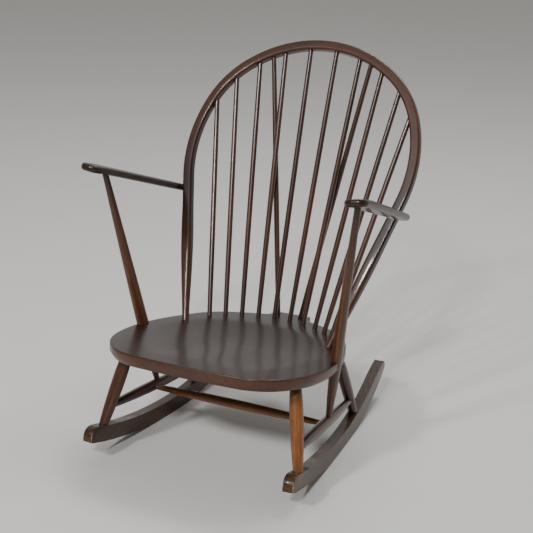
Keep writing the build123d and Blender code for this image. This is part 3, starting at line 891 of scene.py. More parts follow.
    def _lay(self, shape: Timber, places: list[Vector], toner: float) -> None:
        """Add a ring, whose grain runs from front to back.

        Args:
            shape: Shape that gets the ring.
            places: The ring's points in the seat's frame.
            toner: How heavily it is toned.
        """
        frame = self.frame
        shape.ring(
            [frame.at(p.x, p.y, p.z) for p in places],
            [Vector((p.x, p.z, p.y)) for p in places],
            toner,
        )


@dataclass(frozen=True)
class RockerPair:
    """The two rockers: each sawn to a long arc, with a rounded nose and a tapering tail."""

    thick: float = 27.0
    depth: float = 40.0
    spread: float = 242.0
    toe_in: float = 4.5
    rest_y: float = -52.6
    front: Arc = Arc(1130.0, 17.7)
    rear: Arc = Arc(820.0, 19.4)
    tail: Arc = Arc(420.0, 12.8)
    tail_depth: float = 22.0
    nose: float = 24.0            # radius of the nose's upper corner
    corner: float = 4.0           # and of the other three
    corner_steps: int = 8
    edge: float = 2.0
    edge_steps: int = 3
    curve_step: float = 0.8
    worn_reach: float = 3.0       # the stain is rubbed off the nose's edges this far back
    worn_band: tuple[float, float] = (0.05, 0.6)      # and between these shares of their round
    crisp: float = 50.0           # edges that turn by more than this stay sharp

    @property
    def frame(self) -> Frame:
        """Frame on the middle plane of the left rocker.

        Returns:
            A frame with X along the rocker and Y up.
        """
        toe = radians(self.toe_in)
        along = Vector((-sin(toe), cos(toe), 0))
        return Frame(Vector((self.spread, 0, 0)), along, along.cross(UP))

    @property
    def touch(self) -> float:
        """Station where the rocker touches the floor."""
        return self.rest_y / cos(radians(self.toe_in))

    def stand(self, station: float) -> Vector:
        """Find where a leg stands.

        Args:
            station: Way along the rocker.

        Returns:
            Point of the upper edge there.
        """
        outer = (self.front if station < self.touch else self.rear).radius
        inner = outer - self.depth
        turn = asin((self.touch - station) / inner)
        return self.frame.at(station, outer - inner * cos(turn))

    def profile(self) -> list[Vector]:
        """Outline of the rocker in its middle plane.

        Returns:
            The points, anticlockwise from the nose's lower corner.
        """
        base = Vector((self.touch, 0))
        forward = Arc(-self.front.radius, self.front.turn)
        low_front = walk(base, 180, (forward,), self.curve_step)
        low_rear = walk(base, 0, (self.rear, self.tail), self.curve_step)
        nose_x = low_front[-1].x
        inner = self.front.radius - self.depth
        top_turn = degrees(asin((self.touch - nose_x) / inner))
        crest = Vector((self.touch, self.depth))
        top_front = walk(crest, 180, (Arc(-inner, top_turn),), self.curve_step)
        top_rear = walk(
            crest, 0, (Arc(self.rear.radius - self.depth, self.rear.turn),), self.curve_step
        )
        tail_turn = radians(self.rear.turn + self.tail.turn)
        tail_top = low_rear[-1] + Vector((-sin(tail_turn), cos(tail_turn))) * self.tail_depth
        chord = tail_top - top_rear[-1]
        # the upper edge of the tail is one arc, tangent to the edge before it
        bend = degrees(Vector((1, 0)).angle(chord)) - self.rear.turn
        taper = Arc(chord.length / 2 / sin(radians(bend)), 2 * abs(bend))
        top_tail = walk(top_rear[-1], self.rear.turn, (taper,), self.curve_step)
        outline = (
            low_front[::-1] + low_rear[1:] + top_tail[::-1] + top_rear[::-1][1:] + top_front[1:]
        )
        corners = [
            (low_front[-1], self.corner), (low_rear[-1], self.corner),
            (top_tail[-1], self.corner), (top_front[-1], self.nose),
        ]
        for corner, radius in corners:
            outline = rounded(outline, nearest(outline, corner), radius, self.corner_steps)
        return outline

    def _sawn(self, name: str, side: Side, profile: list[Vector]) -> bpy.types.Mesh:
        """Saw one rocker and round its edges over.

        Args:
            name: Name of the mesh.
            side: Side of the chair.
            profile: Outline in the rocker's middle plane.

        Returns:
            The new mesh.
        """
        frame = self.frame
        work = bmesh.new()
        inner, outer = (
            [work.verts.new(side.place(frame.at(p.x, p.y, offset)) * MM) for p in profile]
            for offset in (-self.thick / 2, self.thick / 2)
        )
        flats = [work.faces.new(inner), work.faces.new(outer)]
        for index in range(len(profile)):
            before = index - 1
            work.faces.new((inner[before], inner[index], outer[index], outer[before]))
        bmesh.ops.bevel(
            work, geom=[edge for face in flats for edge in face.edges],
            offset=self.edge * MM, segments=self.edge_steps, profile=0.5, affect="EDGES",
        )
        mesh = bpy.data.meshes.new(name)
        work.to_mesh(mesh)
        work.free()
        return mesh

    def _mark(self, mesh: bpy.types.Mesh, side: Side, nose: float) -> None:
        """Write a rocker's grain, and the wear on the edges of its nose.

        Args:
            mesh: Mesh of the rocker.
            side: Side of the chair.
            nose: Station of the nose's tip.
        """
        frame = self.frame
        places = [frame.place_of(side.place(vertex.co / MM)) for vertex in mesh.vertices]
        grain = [Vector((place.z, place.y, place.x)) * MM for place in places]
        write_grain(mesh, grain, Board.ROCKER_PAIR + side.value)
        flat, low = (self.thick / 2 - share * self.edge for share in self.worn_band)
        wear = [
            float(place.x < nose + self.worn_reach and low < abs(place.z) < flat)
            for place in places
        ]
        write_shares(mesh, WEAR, wear)

    def build(self, finish: bpy.types.Material) -> None:
        """Build both rockers.

        Args:
            finish: Finish of the rockers.
        """
        profile = self.profile()
        nose = min(point.x for point in profile)
        for side in Side:
            name = f"shaped_rocker_{side.word}"
            mesh = self._sawn(name, side, profile)
            self._mark(mesh, side, nose)
            piece = finished(name, mesh)
            mark_sharp(piece, self.crisp)
            piece.data.materials.append(finish)
            hand_over(piece, f"rocker_{side.word}")


@dataclass(frozen=True)
class Section:
    """Rounded square section of the hoop at a height up its leg."""

    height: float
    face: float
    depth: float
    rounding: float

    def sizes(self) -> tuple[float, float, float]:
        """Half of the face, half of the depth and the rounding."""
        return self.face / 2, self.depth / 2, self.rounding


def spline(before: float, start: float, end: float, after: float, share: float) -> float:
    """Value between two others, on a smooth curve through all four.

    Args:
        before: The value before the start.
        start: The value at share 0.
        end: The value at share 1.
        after: The value after the end.
        share: Place between start and end.

    Returns:
        The value there.
    """
    lean_in, lean_out = (end - before) / 2, (after - start) / 2
    cube, square = share**3, share**2
    return (
        start * (2 * cube - 3 * square + 1)
        + end * (3 * square - 2 * cube)
        + lean_in * (cube - 2 * square + share)
        + lean_out * (cube - square)
    )


@dataclass(frozen=True)
class Hoop:
    """Steam-bent hoop: a leaning bow of rounded square section with feet turned round."""

    seat: SeatBoard
    foot_y: float = 83.5
    lean: float = 31.1
    rise: float = 788.0
    arcs: tuple[Arc, ...] = (Arc(345.0, 37.0), Arc(262.0, 32.0), Arc(353.0, 35.4))
    bow: Section = Section(330.0, 26.0, 25.0, 6.0)      # the same from here to the top
    leg: tuple[Section, ...] = (      # the swell, the taper and the round foot
        Section(212.0, 28.5, 28.5, 8.0), Section(110.0, 24.5, 24.5, 9.0),
        Section(11.0, 18.5, 18.5, 9.1),
    )
    socket: float = 22.0
    toned_at: float = 366.0       # the toner is heaviest at the arms, this far up the leg
    toned_reach: float = 130.0
    step: float = 4.0             # distance between two sections of the mesh
    corner_steps: int = 14

    @property
    def frame(self) -> Frame:
        """Frame in the plane of the hoop, with Y up along its lean."""
        normal = Vector((0, -cos(radians(self.lean)), sin(radians(self.lean))))
        return Frame(self.seat.frame.at(0, self.foot_y), Vector((1, 0, 0)), normal)

    @property
    def bow_length(self) -> float:
        """Length of the bent half, from the top to the start of the straight leg."""
        return sum(arc.length for arc in self.arcs)

    def flat_point(self, distance: float) -> tuple[Vector, float]:
        """Centre line in the plane of the hoop.

        Args:
            distance: Way along it from its top.

        Returns:
            The point, and the clockwise turn there in radians.
        """
        point, turn = Vector((0.0, self.rise)), 0.0
        for arc in self.arcs:
            bend = min(distance, arc.length) / arc.radius
            point += arc.radius * Vector(
                (sin(turn + bend) - sin(turn), cos(turn + bend) - cos(turn))
            )
            turn += bend
            distance -= bend * arc.radius
            if distance <= 0:
                return point, turn
        return point + Vector((cos(turn), -sin(turn))) * distance, turn

    @property
    def leg_turn(self) -> float:
        """Clockwise turn of the straight leg, in radians."""
        return sum(radians(arc.turn) for arc in self.arcs)

    @property
    def straight(self) -> float:
        """Length of the straight leg down to the seat."""
        end, _ = self.flat_point(self.bow_length)
        return end.y / sin(self.leg_turn)

    def along(self, distance: float) -> Vector:
        """Point on the centre line, from the top down the left side."""
        point, _ = self.flat_point(distance)
        return self.frame.at(point.x, point.y)

    def up_leg(self, distance: float) -> Vector:
        """Point on the left leg's centre line, from the seat upwards."""
        return self.along(self.bow_length + self.straight - distance)

    @property
    def leg_direction(self) -> Vector:
        """Direction of the left leg, upwards."""
        return (self.up_leg(1.0) - self.up_leg(0.0)).normalized()

    def section(self, above_seat: float) -> tuple[float, float, float]:
        """Section of the hoop at a place.

        Args:
            above_seat: Height up the leg.

        Returns:
            Half of the face, half of the depth and the rounding.
        """
        known = (self.bow, self.bow, *self.leg, self.leg[-1])
        if above_seat >= self.bow.height:
            return self.bow.sizes()
        if above_seat <= self.leg[-1].height:
            return self.leg[-1].sizes()
        index = next(i for i in range(2, len(known)) if above_seat >= known[i].height)
        upper, lower = known[index - 1], known[index]
        share = (upper.height - above_seat) / (upper.height - lower.height)
        around = (section.sizes() for section in known[index - 2 : index + 2])
        return tuple(spline(*values, share) for values in zip(*around))

    def build(self, finish: bpy.types.Material) -> None:
        """Build the hoop in one piece from foot to foot.

        Args:
            finish: Finish of the hoop.
        """
        frame = self.frame
        half = self.bow_length + self.straight + self.socket
        count = round(half / self.step)
        shape = Timber()
        for index in range(-count, count + 1):
            distance = abs(index) / count * half
            side = Side.LEFT if index >= 0 else Side.RIGHT
            above_seat = self.bow_length + self.straight - distance
            point, turn = self.flat_point(distance)
            outward = Vector((sin(turn), cos(turn)))
            offsets = rounded_section(*self.section(above_seat), self.corner_steps)
            ring = []
            for across, deep in offsets:
                flat = point + outward * across
                ring.append(side.place(frame.at(flat.x, flat.y, deep)))
            run = distance * side.value
            toner = exp(-(((above_seat - self.toned_at) / self.toned_reach) ** 2))
            shape.ring(ring, [Vector((across, deep, run)) for across, deep in offsets], toner)
        shape.close(len(offsets))
        piece = shape.to_object("bent_hoop", Side.LEFT, Board.HOOP)
        piece.data.materials.append(finish)
        hand_over(piece, "hoop")


# ---- turned pieces ----------------------------------------------------------
class Lathe:
    """Geometry Nodes tree that turns a bar with a belly between two points."""

    SIZES = (
        "Foot Diameter", "Belly Diameter", "Head Diameter", "Belly At", "Foot Tenon", "Head Tenon",
        "Foot Toner", "Head Toner",
    )
    SLIMMING = 2.0       # power by which a bar slims from its belly to its ends

    def __init__(self, facets: int = 40, stations: int = 48) -> None:
        """Build the tree.

        Args:
            facets: Sides of a bar all round.
            stations: Rings along a bar.
        """
        self.facets = facets
        self.stations = stations
        self.tree = bpy.data.node_groups.new("Turned bar", "GeometryNodeTree")
        self.sockets: dict[str, str] = {}
        self.tree.interface.new_socket(
            "Geometry", in_out="OUTPUT", socket_type="NodeSocketGeometry"
        )
        inputs = {
            "NodeSocketVector": ("Foot", "Head", "Board Shift"),
            "NodeSocketFloat": self.SIZES,
            "NodeSocketInt": ("Facets", "Stations"),
            "NodeSocketMaterial": ("Finish",),
        }
        for kind, names in inputs.items():
            for name in names:
                self._declare(name, kind)
        self.given = add_node(self.tree, "NodeGroupInput").outputs
        self._wire()

    def _declare(self, name: str, kind: str) -> None:
        """Declare an input and keep its identifier."""
        socket = self.tree.interface.new_socket(name, in_out="INPUT", socket_type=kind)
        self.sockets[name] = socket.identifier

    def _vector(
        self, operation: str, *values: object, scale: object = None
    ) -> bpy.types.NodeSocket:
        """Work with vectors.

        Args:
            operation: Name of the operation.
            values: Its vectors.
            scale: Its factor, which only SCALE has.

        Returns:
            The result, which is a number for a length or a dot product.
        """
        inputs = dict(enumerate(values))
        if scale is not None:
            inputs["Scale"] = scale
        made = add_node(self.tree, "ShaderNodeVectorMath", inputs, operation=operation)
        return made.outputs["Value" if operation in ("LENGTH", "DOT_PRODUCT") else "Vector"]

    def _number(self, operation: str, *values: object, **settings: object) -> bpy.types.NodeSocket:
        """Work with numbers.

        Args:
            operation: Name of the operation.
            values: Its numbers.
            settings: Properties of the node.

        Returns:
            The result.
        """
        inputs = dict(enumerate(values))
        made = add_node(self.tree, "ShaderNodeMath", inputs, operation=operation, **settings)
        return made.outputs["Value"]

    def _stored(
        self, geometry: bpy.types.NodeSocket, name: str, kind: str, value: bpy.types.NodeSocket
    ) -> bpy.types.NodeSocket:
        """Store a value on the points.

        Args:
            geometry: Curve or mesh that gets it.
            name: Name of the attribute.
            kind: Type of the attribute.
            value: Value at each point.

        Returns:
            The geometry with the attribute.
        """
        return add_node(
            self.tree,
            "GeometryNodeStoreNamedAttribute",
            {"Geometry": geometry, "Name": name, "Value": value},
            data_type=kind,
            domain="POINT",
        ).outputs["Geometry"]

    def _wire(self) -> None:
        """Lay out the nodes of the tree."""
        tree, given = self.tree, self.given
        way = self._vector("SUBTRACT", given["Head"], given["Foot"])
        aim = self._vector("NORMALIZE", way)
        width, toner = self._turning(self._vector("LENGTH", way))
        circle = add_node(      # one across, so that its scale is the bar's diameter
            tree,
            "GeometryNodeCurvePrimitiveCircle",
            {"Resolution": given["Facets"], "Radius": 0.5},
        )
        bar = add_node(
            tree,
            "GeometryNodeCurveToMesh",
            {
                "Curve": self._stored(self._path(aim), TONER, "FLOAT", toner),
                "Profile Curve": circle.outputs["Curve"],
                "Scale": width,
                "Fill Caps": True,
            },
        )
        place = self._vector("ADD", self._place(aim), given["Board Shift"])
        marked = self._stored(bar.outputs["Mesh"], GRAIN, "FLOAT_VECTOR", place)
        smooth = add_node(tree, "GeometryNodeSetShadeSmooth", {0: marked})
        real = add_node(tree, "GeometryNodeRealizeInstances", {0: smooth.outputs[0]})
        dressed = add_node(
            tree,
            "GeometryNodeSetMaterial",
            {"Geometry": real.outputs[0], "Material": given["Finish"]},
        )
        add_node(tree, "NodeGroupOutput", {"Geometry": dressed.outputs["Geometry"]})

    def _path(self, aim: bpy.types.NodeSocket) -> bpy.types.NodeSocket:
        """Middle line of the bar, its tenons included.

        Args:
            aim: Direction from foot to head.

        Returns:
            The line, with a point at each station.
        """
        given = self.given
        below = self._vector("SCALE", aim, scale=given["Foot Tenon"])
        above = self._vector("SCALE", aim, scale=given["Head Tenon"])
        line = add_node(
            self.tree,
            "GeometryNodeCurvePrimitiveLine",
            {
                "Start": self._vector("SUBTRACT", given["Foot"], below),
                "End": self._vector("ADD", given["Head"], above),
            },
        )
        return add_node(
            self.tree,
            "GeometryNodeResampleCurve",
            {"Curve": line.outputs["Curve"], "Count": given["Stations"]},
        ).outputs["Curve"]

    def _turning(
        self, length: bpy.types.NodeSocket
    ) -> tuple[bpy.types.NodeSocket, bpy.types.NodeSocket]:
        """Slim the bar from its belly to both ends, and tone the ends.

        Args:
            length: Length from foot to head.

        Returns:
            Diameter and toner at each station.
        """
        given = self.given
        run = add_node(self.tree, "GeometryNodeSplineParameter").outputs["Length"]
        belly = self._number("MULTIPLY", length, given["Belly At"])
        past = self._number("SUBTRACT", self._number("SUBTRACT", run, given["Foot Tenon"]), belly)
        rest = self._number("SUBTRACT", length, belly)
        before = self._number("MULTIPLY", past, -1.0)
        upper = self._number("DIVIDE", past, rest, use_clamp=True)
        lower = self._number("DIVIDE", before, belly, use_clamp=True)
        to_head = self._number("POWER", upper, self.SLIMMING)
        to_foot = self._number("POWER", lower, self.SLIMMING)
        slim_head = self._number("SUBTRACT", given["Belly Diameter"], given["Head Diameter"])
        slim_foot = self._number("SUBTRACT", given["Belly Diameter"], given["Foot Diameter"])
        loss = self._number(
            "ADD",
            self._number("MULTIPLY", to_head, slim_head),
            self._number("MULTIPLY", to_foot, slim_foot),
        )
        toner = self._number(
            "ADD",
            self._number("MULTIPLY", to_head, given["Head Toner"]),
            self._number("MULTIPLY", to_foot, given["Foot Toner"]),
        )
        return self._number("SUBTRACT", given["Belly Diameter"], loss), toner

    def _place(self, aim: bpy.types.NodeSocket) -> bpy.types.NodeSocket:
        """Place in the timber, with Z along the bar.

        Args:
            aim: Direction from foot to head.

        Returns:
            The place of each point of the mesh.
        """
        position = add_node(self.tree, "GeometryNodeInputPosition").outputs["Position"]
        offset = self._vector("SUBTRACT", position, self.given["Foot"])
        sideways = self._vector("CROSS_PRODUCT", aim, (0.0, 1.0, 0.0))
        across = self._vector("NORMALIZE", sideways)
        other = self._vector("CROSS_PRODUCT", aim, across)
        return add_node(
            self.tree,
            "ShaderNodeCombineXYZ",
            {
                "X": self._vector("DOT_PRODUCT", offset, across),
                "Y": self._vector("DOT_PRODUCT", offset, other),
                "Z": self._vector("DOT_PRODUCT", offset, aim),
            },
        ).outputs["Vector"]

    def turn(
        self, name: str, bar: "TurnedBar", side: Side, board: int, finish: bpy.types.Material
    ) -> bpy.types.Object:
        """Turn one bar.

        Args:
            name: Name of the new object.
            bar: The bar of the left side.
            side: Side of the chair to put it on.
            board: Number of the board it is cut from.
            finish: Finish of the bar.

        Returns:
            The bar as a plain mesh object.
        """
        values = {
            "Foot": side.place(bar.foot) * MM,
            "Head": side.place(bar.head) * MM,
            "Board Shift": BOARD_SHIFT * board,
            **dict(zip(self.SIZES, bar.sizes())),
            "Facets": self.facets,
            "Stations": self.stations,
            "Finish": finish,
        }
        blank = in_scene(name, bpy.data.meshes.new(name))
        modifier = blank.modifiers.new("Lathe", "NODES")
        modifier.node_group = self.tree
        for key, value in values.items():
            modifier[self.sockets[key]] = value
        mesh = evaluated(blank)
        bpy.data.objects.remove(blank)
        mesh.name = name
        return in_scene(name, mesh)


@dataclass(frozen=True)
class TurnedBar:
    """Sizes of a turned bar, foot to head, with the lengths hidden in its sockets."""

    foot: Vector
    head: Vector
    foot_wide: float
    belly_wide: float
    head_wide: float
    belly_at: float
    foot_tenon: float
    head_tenon: float
    foot_toner: float = 0.6       # how dark the ends are toned
    head_toner: float = 0.6

    def sizes(self) -> tuple[float, ...]:
        """Sizes in metres, in the order of the lathe's inputs."""
        return (
            self.foot_wide * MM, self.belly_wide * MM, self.head_wide * MM, self.belly_at,
            self.foot_tenon * MM, self.head_tenon * MM, self.foot_toner, self.head_toner,
        )


@dataclass(frozen=True)
class Undercarriage:
    """Four splayed legs on the rockers, with two side stretchers and a cross stretcher."""

    seat: SeatBoard
    rockers: RockerPair
    front_station: float = -279.0
    rear_station: float = 120.0
    front_head: tuple[float, float] = (228.0, -151.0)
    rear_head: tuple[float, float] = (226.0, 103.0)
    front_wide: tuple[float, float, float] = (23.5, 33.0, 26.0)
    rear_wide: tuple[float, float, float] = (22.5, 30.0, 24.0)
    belly_at: float = 0.63
    in_rocker: float = 9.0
    in_seat: float = 20.0
    foot_toner: float = 0.25
    head_toner: float = 1.2
    side_front_at: float = 0.245
    side_rear_at: float = 0.23
    side_end: float = 18.0
    side_belly: float = 28.0
    tenon_gap: float = 2.0        # a stretcher ends this far short of the joint's middle
    cross_at: float = 0.49
    cross_end: float = 13.5
    cross_belly: float = 24.0
    stretcher_belly_at: float = 0.5
    clear: float = 3.0            # what stands on a side stretcher swells this far outside it

    def leg(self, station: float, head: tuple[float, float], wide: tuple[float, ...]) -> TurnedBar:
        """One leg of the left side, from the rocker into the seat.

        Args:
            station: Way along the rocker from where it touches the floor.
            head: Place in the seat's frame.
            wide: Diameters of its foot, belly and head.

        Returns:
            The leg.
        """
        return TurnedBar(
            self.rockers.stand(self.rockers.touch + station),
            self.seat.frame.at(*head, -self.seat.thick),
            *wide, self.belly_at, self.in_rocker, self.in_seat, self.foot_toner, self.head_toner,
        )

    @property
    def front_leg(self) -> TurnedBar:
        """The front leg of the left side."""
        return self.leg(self.front_station, self.front_head, self.front_wide)

    @property
    def rear_leg(self) -> TurnedBar:
        """The rear leg of the left side."""
        return self.leg(self.rear_station, self.rear_head, self.rear_wide)

    @property
    def side_joints(self) -> tuple[Vector, Vector]:
        """Where the left side stretcher meets the middle lines of its legs.

        Returns:
            The front and the rear point.
        """
        front, rear = self.front_leg, self.rear_leg
        return (
            front.foot.lerp(front.head, self.side_front_at),
            rear.foot.lerp(rear.head, self.side_rear_at),
        )

    def build(self, lathe: Lathe, finishes: Finishes) -> None:
        """Turn the legs and stretchers.

        Args:
            lathe: The lathe.
            finishes: Finishes of the chair.
        """
        front_joint, rear_joint = self.side_joints
        inset = self.front_wide[1] / 2
        along = (rear_joint - front_joint).normalized()
        bars = {
            "front_leg": self.front_leg,
            "rear_leg": self.rear_leg,
            "side_stretcher": TurnedBar(
                front_joint + along * inset, rear_joint - along * inset,
                self.side_end, self.side_belly, self.side_end, self.stretcher_belly_at,
                inset - self.tenon_gap, inset - self.tenon_gap,
            ),
        }
        boards = itertools.count(Board.UNDERCARRIAGE)
        for node, bar in bars.items():
            for side in Side:
                finish = finishes.stick
                if node == "front_leg":      # the left one takes the lighter pale finish as painted front light, the right one the posts' finish
                    finish = finishes.pale if side is Side.LEFT else finishes.post
                piece = lathe.turn(f"turned_{node}_{side.word}", bar, side, next(boards), finish)
                hand_over(piece, f"{node}_{side.word}")
        middle = front_joint.lerp(rear_joint, self.cross_at)
        reach = self.side_belly / 2 + self.clear
        head = middle - Vector((reach, 0, 0))
        cross = TurnedBar(
            Side.RIGHT.place(head), head,
            self.cross_end, self.cross_belly, self.cross_end, self.stretcher_belly_at,
            reach - self.tenon_gap, reach - self.tenon_gap,
        )
        # the cross stretcher takes the lighter pale finish too, as painted front light
        name = "turned_cross_stretcher"
        piece = lathe.turn(name, cross, Side.LEFT, next(boards), finishes.pale)
        hand_over(piece, "cross_stretcher")


@dataclass(frozen=True)
class BackSticks:
    """Ten sticks that fan out from the back of the seat into the hoop, and two braces."""

    seat: SeatBoard
    hoop: Hoop
    arc_radius: float = 236.0
    arc_y: float = 5.0
    first_turn: float = 5.6
    turn: float = 10.8
    tops: tuple[float, ...] = (38.0, 111.0, 188.0, 264.0, 341.0)
    foot: float = 12.5
    belly: float = 14.6
    head: float = 12.0
    belly_at: float = 0.35
    socket: float = 18.0
    in_hoop: float = 3.0
    brace_foot: tuple[float, float] = (33.0, 284.0)
    brace_top: float = 148.0

    def bar(self, foot: Vector, distance: float) -> TurnedBar:
        """One stick of the left side, from the seat into the hoop.

        Args:
            foot: Point on the seat.
            distance: Way along the hoop from its top.

        Returns:
            The stick.
        """
        return TurnedBar(
            foot, self.hoop.along(distance), self.foot, self.belly, self.head, self.belly_at,
            self.socket, self.in_hoop,
        )

    def build(self, lathe: Lathe, finish: bpy.types.Material) -> None:
        """Turn the sticks and braces.

        Args:
            lathe: The lathe.
            finish: Finish of the pieces.
        """
        bars = {"brace": self.bar(self.seat.frame.at(*self.brace_foot), self.brace_top)}
        for index, top in enumerate(self.tops):
            angle = radians(self.first_turn + self.turn * index)
            foot = self.seat.frame.at(
                self.arc_radius * sin(angle), self.arc_y + self.arc_radius * cos(angle)
            )
            bars[f"back_stick_{index + 1}"] = self.bar(foot, top)
        boards = itertools.count(Board.BACK_STICKS)
        for node, bar in bars.items():
            for side in Side:
                piece = lathe.turn(f"turned_{node}_{side.word}", bar, side, next(boards), finish)
                hand_over(piece, f"{node}_{side.word}")


@dataclass(frozen=True)
class Arms:
    """Flat arms lapped on the hoop, each on a flattened post that runs down past the seat."""

    seat: SeatBoard
    hoop: Hoop
    under: Undercarriage
    on_hoop: float = 366.0
    slope: float = 19.3
    roll: float = 8.0
    thick: float = 18.0
    housing: float = 4.0
    tail: float = 15.0
    tail_wide: float = 29.0
    nose: float = 415.0
    nose_inner: float = 10.5
    nose_wide: float = 57.0
    nose_corner: float = 25.0
    tail_corner: float = 10.0
    bulge: float = 4.0
    droop_length: float = 70.0
    droop: float = 5.0
    edge: float = 8.0
    flat: float = 0.2             # least width left between an edge's round and the middle
    toner: float = 0.85
    steps: int = 200
    corner_steps: int = 14
    post_x: float = 27.5
    post_y: float = 354.0
    post_at: float = 0.56
    post_foot_wide: float = 14.5
    post_head_wide: float = 15.5
    post_wide: float = 38.0
    post_thick: float = 26.0
    post_belly: float = 0.30
    post_lower_curve: float = 1.9
    post_upper_curve: float = 1.2
    post_toner: float = 0.8       # at the head
    post_toner_curve: float = 4.0
    post_facets: int = 40
    post_stations: int = 64
    plug: float = 9.5
    plug_proud: float = 0.35
    plug_head: float = 0.8        # share of its width left by the chamfer of its face
    plug_straight: float = 0.6    # share of its length below that chamfer
    screw_drop: float = 14.0
    screw_turn: float = 40.0      # the post's plug faces this much forwards

    @property
    def frame(self) -> Frame:
        """Frame on the left arm's middle, where it laps the hoop.

        Returns:
            A frame with X outwards and Y back.
        """
        slope, roll = radians(self.slope), radians(self.roll)
        lap = self.hoop.up_leg(self.on_hoop)
        outward = self.hoop.leg_direction.cross(self.hoop.frame.z)
        back = Vector((0, cos(slope), -sin(slope)))
        out = Vector((cos(roll), sin(roll) * sin(slope), sin(roll) * cos(slope)))
        return Frame(lap + outward * self.hoop.bow.face / 2, out, out.cross(back))

    def edges_at(self, back: float) -> tuple[float, float]:
        """Edges of the arm's plan, before its corners are rounded.

        Args:
            back: Place along the arm.

        Returns:
            Inner and outer edge there.
        """
        share = (back + self.nose) / (self.nose + self.tail)
        inner = self.nose_inner + (-self.housing - self.nose_inner) * share
        nose_outer = self.nose_inner + self.nose_wide
        tail_outer = self.tail_wide - self.housing
        outer = nose_outer + (tail_outer - nose_outer) * share
        return inner, outer + self.bulge * 4 * share * (1 - share)

    def arm_section(self, back: float) -> tuple[float, float, float]:
        """Section of the arm, with the corners of its nose and tail rounded.

        Args:
            back: Place along the arm.

        Returns:
            Middle of its width, half of its width and half of its thickness.
        """
        inner, outer = self.edges_at(back)
        from_nose, from_tail = back + self.nose, self.tail - back
        inner += corner_inset(from_nose, self.nose_corner)
        inner += corner_inset(from_tail, self.tail_corner)
        outer -= corner_inset(from_nose, self.nose_corner)
        outer -= corner_inset(from_tail, self.tail_corner)
        half_thick = self.thick / 2 - corner_inset(min(from_nose, from_tail), self.edge)
        return (inner + outer) / 2, (outer - inner) / 2, half_thick

    def arm_shape(self) -> Timber:
        """Shape of the left arm, whose nose droops a little.

        Returns:
            Sections from its nose to its tail.
        """
        shape = Timber()
        frame = self.frame
        length = self.nose + self.tail
        radius = self.droop_length / radians(self.droop)
        for step in range(self.steps + 1):
            share = step / self.steps      # the sections stand closer at both ends
            back = -self.nose + length * (share - sin(2 * pi * share) / (2 * pi))
            middle, half_wide, half_thick = self.arm_section(back)
            rounding = min(self.edge, half_thick - self.flat, half_wide - self.flat)
            offsets = rounded_section(half_wide, half_thick, rounding, self.corner_steps)
            bend = max(0.0, -self.nose + self.droop_length - back)
            turn = asin(min(bend / radius, 1.0))
            drop = radius * (1 - cos(turn))
            ring, grain = [], []
            for across, deep in offsets:
                x = middle + across
                ring.append(frame.at(x, back - deep * sin(turn), deep * cos(turn) - drop))
                grain.append(Vector((x, deep - drop, back)))
            shape.ring(ring, grain, self.toner)
        shape.close(len(offsets))
        return shape

    def post_ends(self) -> tuple[Vector, Vector]:
        """Foot of the left post in its stretcher, and head in its arm."""
        front, rear = self.under.side_joints
        return front.lerp(rear, self.post_at), self.frame.at(self.post_x, -self.post_y)

    def post_size(self, share: float, foot: float, belly: float, head: float) -> float:
        """Width or thickness of the post, which swells to a belly.

        Args:
            share: Share of the way between its tenons, from its foot.
            foot: Size at its foot.
            belly: Size at its belly.
            head: Size at its head.

        Returns:
            The size there.
        """
        if share < self.post_belly:
            fall = (1 - share / self.post_belly) ** self.post_lower_curve
            return belly - (belly - foot) * fall
        rise = (share - self.post_belly) / (1 - self.post_belly)
        return belly - (belly - head) * rise**self.post_upper_curve

    def post_shape(self) -> Timber:
        """Shape of the left post.

        Returns:
            Oval sections from its foot to its head.
        """
        foot, head = self.post_ends()
        along = (head - foot).normalized()
        out = (Vector((1, 0, 0)) - along * along.x).normalized()
        deep = along.cross(out)
        length = (head - foot).length
        shape = Timber()
        start = self.under.side_belly / 2 + self.under.clear
        end = length - self.thick
        for step in range(self.post_stations + 1):
            run = length * step / self.post_stations
            share = min(max((run - start) / (end - start), 0.0), 1.0)
            half_out, half_deep = (
                self.post_size(share, self.post_foot_wide, belly, self.post_head_wide) / 2
                for belly in (self.post_thick, self.post_wide)
            )
            ring, grain = [], []
            for facet in range(self.post_facets):
                angle = 2 * pi * facet / self.post_facets
                x, y = half_out * cos(angle), half_deep * sin(angle)
                ring.append(foot + along * run + out * x + deep * y)
                grain.append(Vector((x, y, run)))
            shape.ring(ring, grain, self.post_toner * share**self.post_toner_curve)
        shape.close(self.post_facets)
        return shape

    def plugs(self) -> dict[str, tuple[Vector, Vector]]:
        """Find the plugs over the screws of the left arm and its post.

        Returns:
            For each node, the middle of its left plug's face and the way that this faces.
        """
        frame = self.frame
        _, outer = self.edges_at(0.0)
        foot, head = self.post_ends()
        along = (head - foot).normalized()
        seat = self.seat.frame
        gap = seat.at(0, 0, -self.screw_drop) - foot
        centre = foot + along * (gap.dot(seat.z) / along.dot(seat.z))
        turn = radians(self.screw_turn)
        out = Vector((cos(turn), -sin(turn), 0))
        reach = 0.5 / sqrt((out.x / self.post_thick) ** 2 + (out.y / self.post_wide) ** 2)
        return {
            "arm_plugs": (frame.at(outer, 0), frame.x),
            "post_plugs": (centre + out * reach, out),
        }

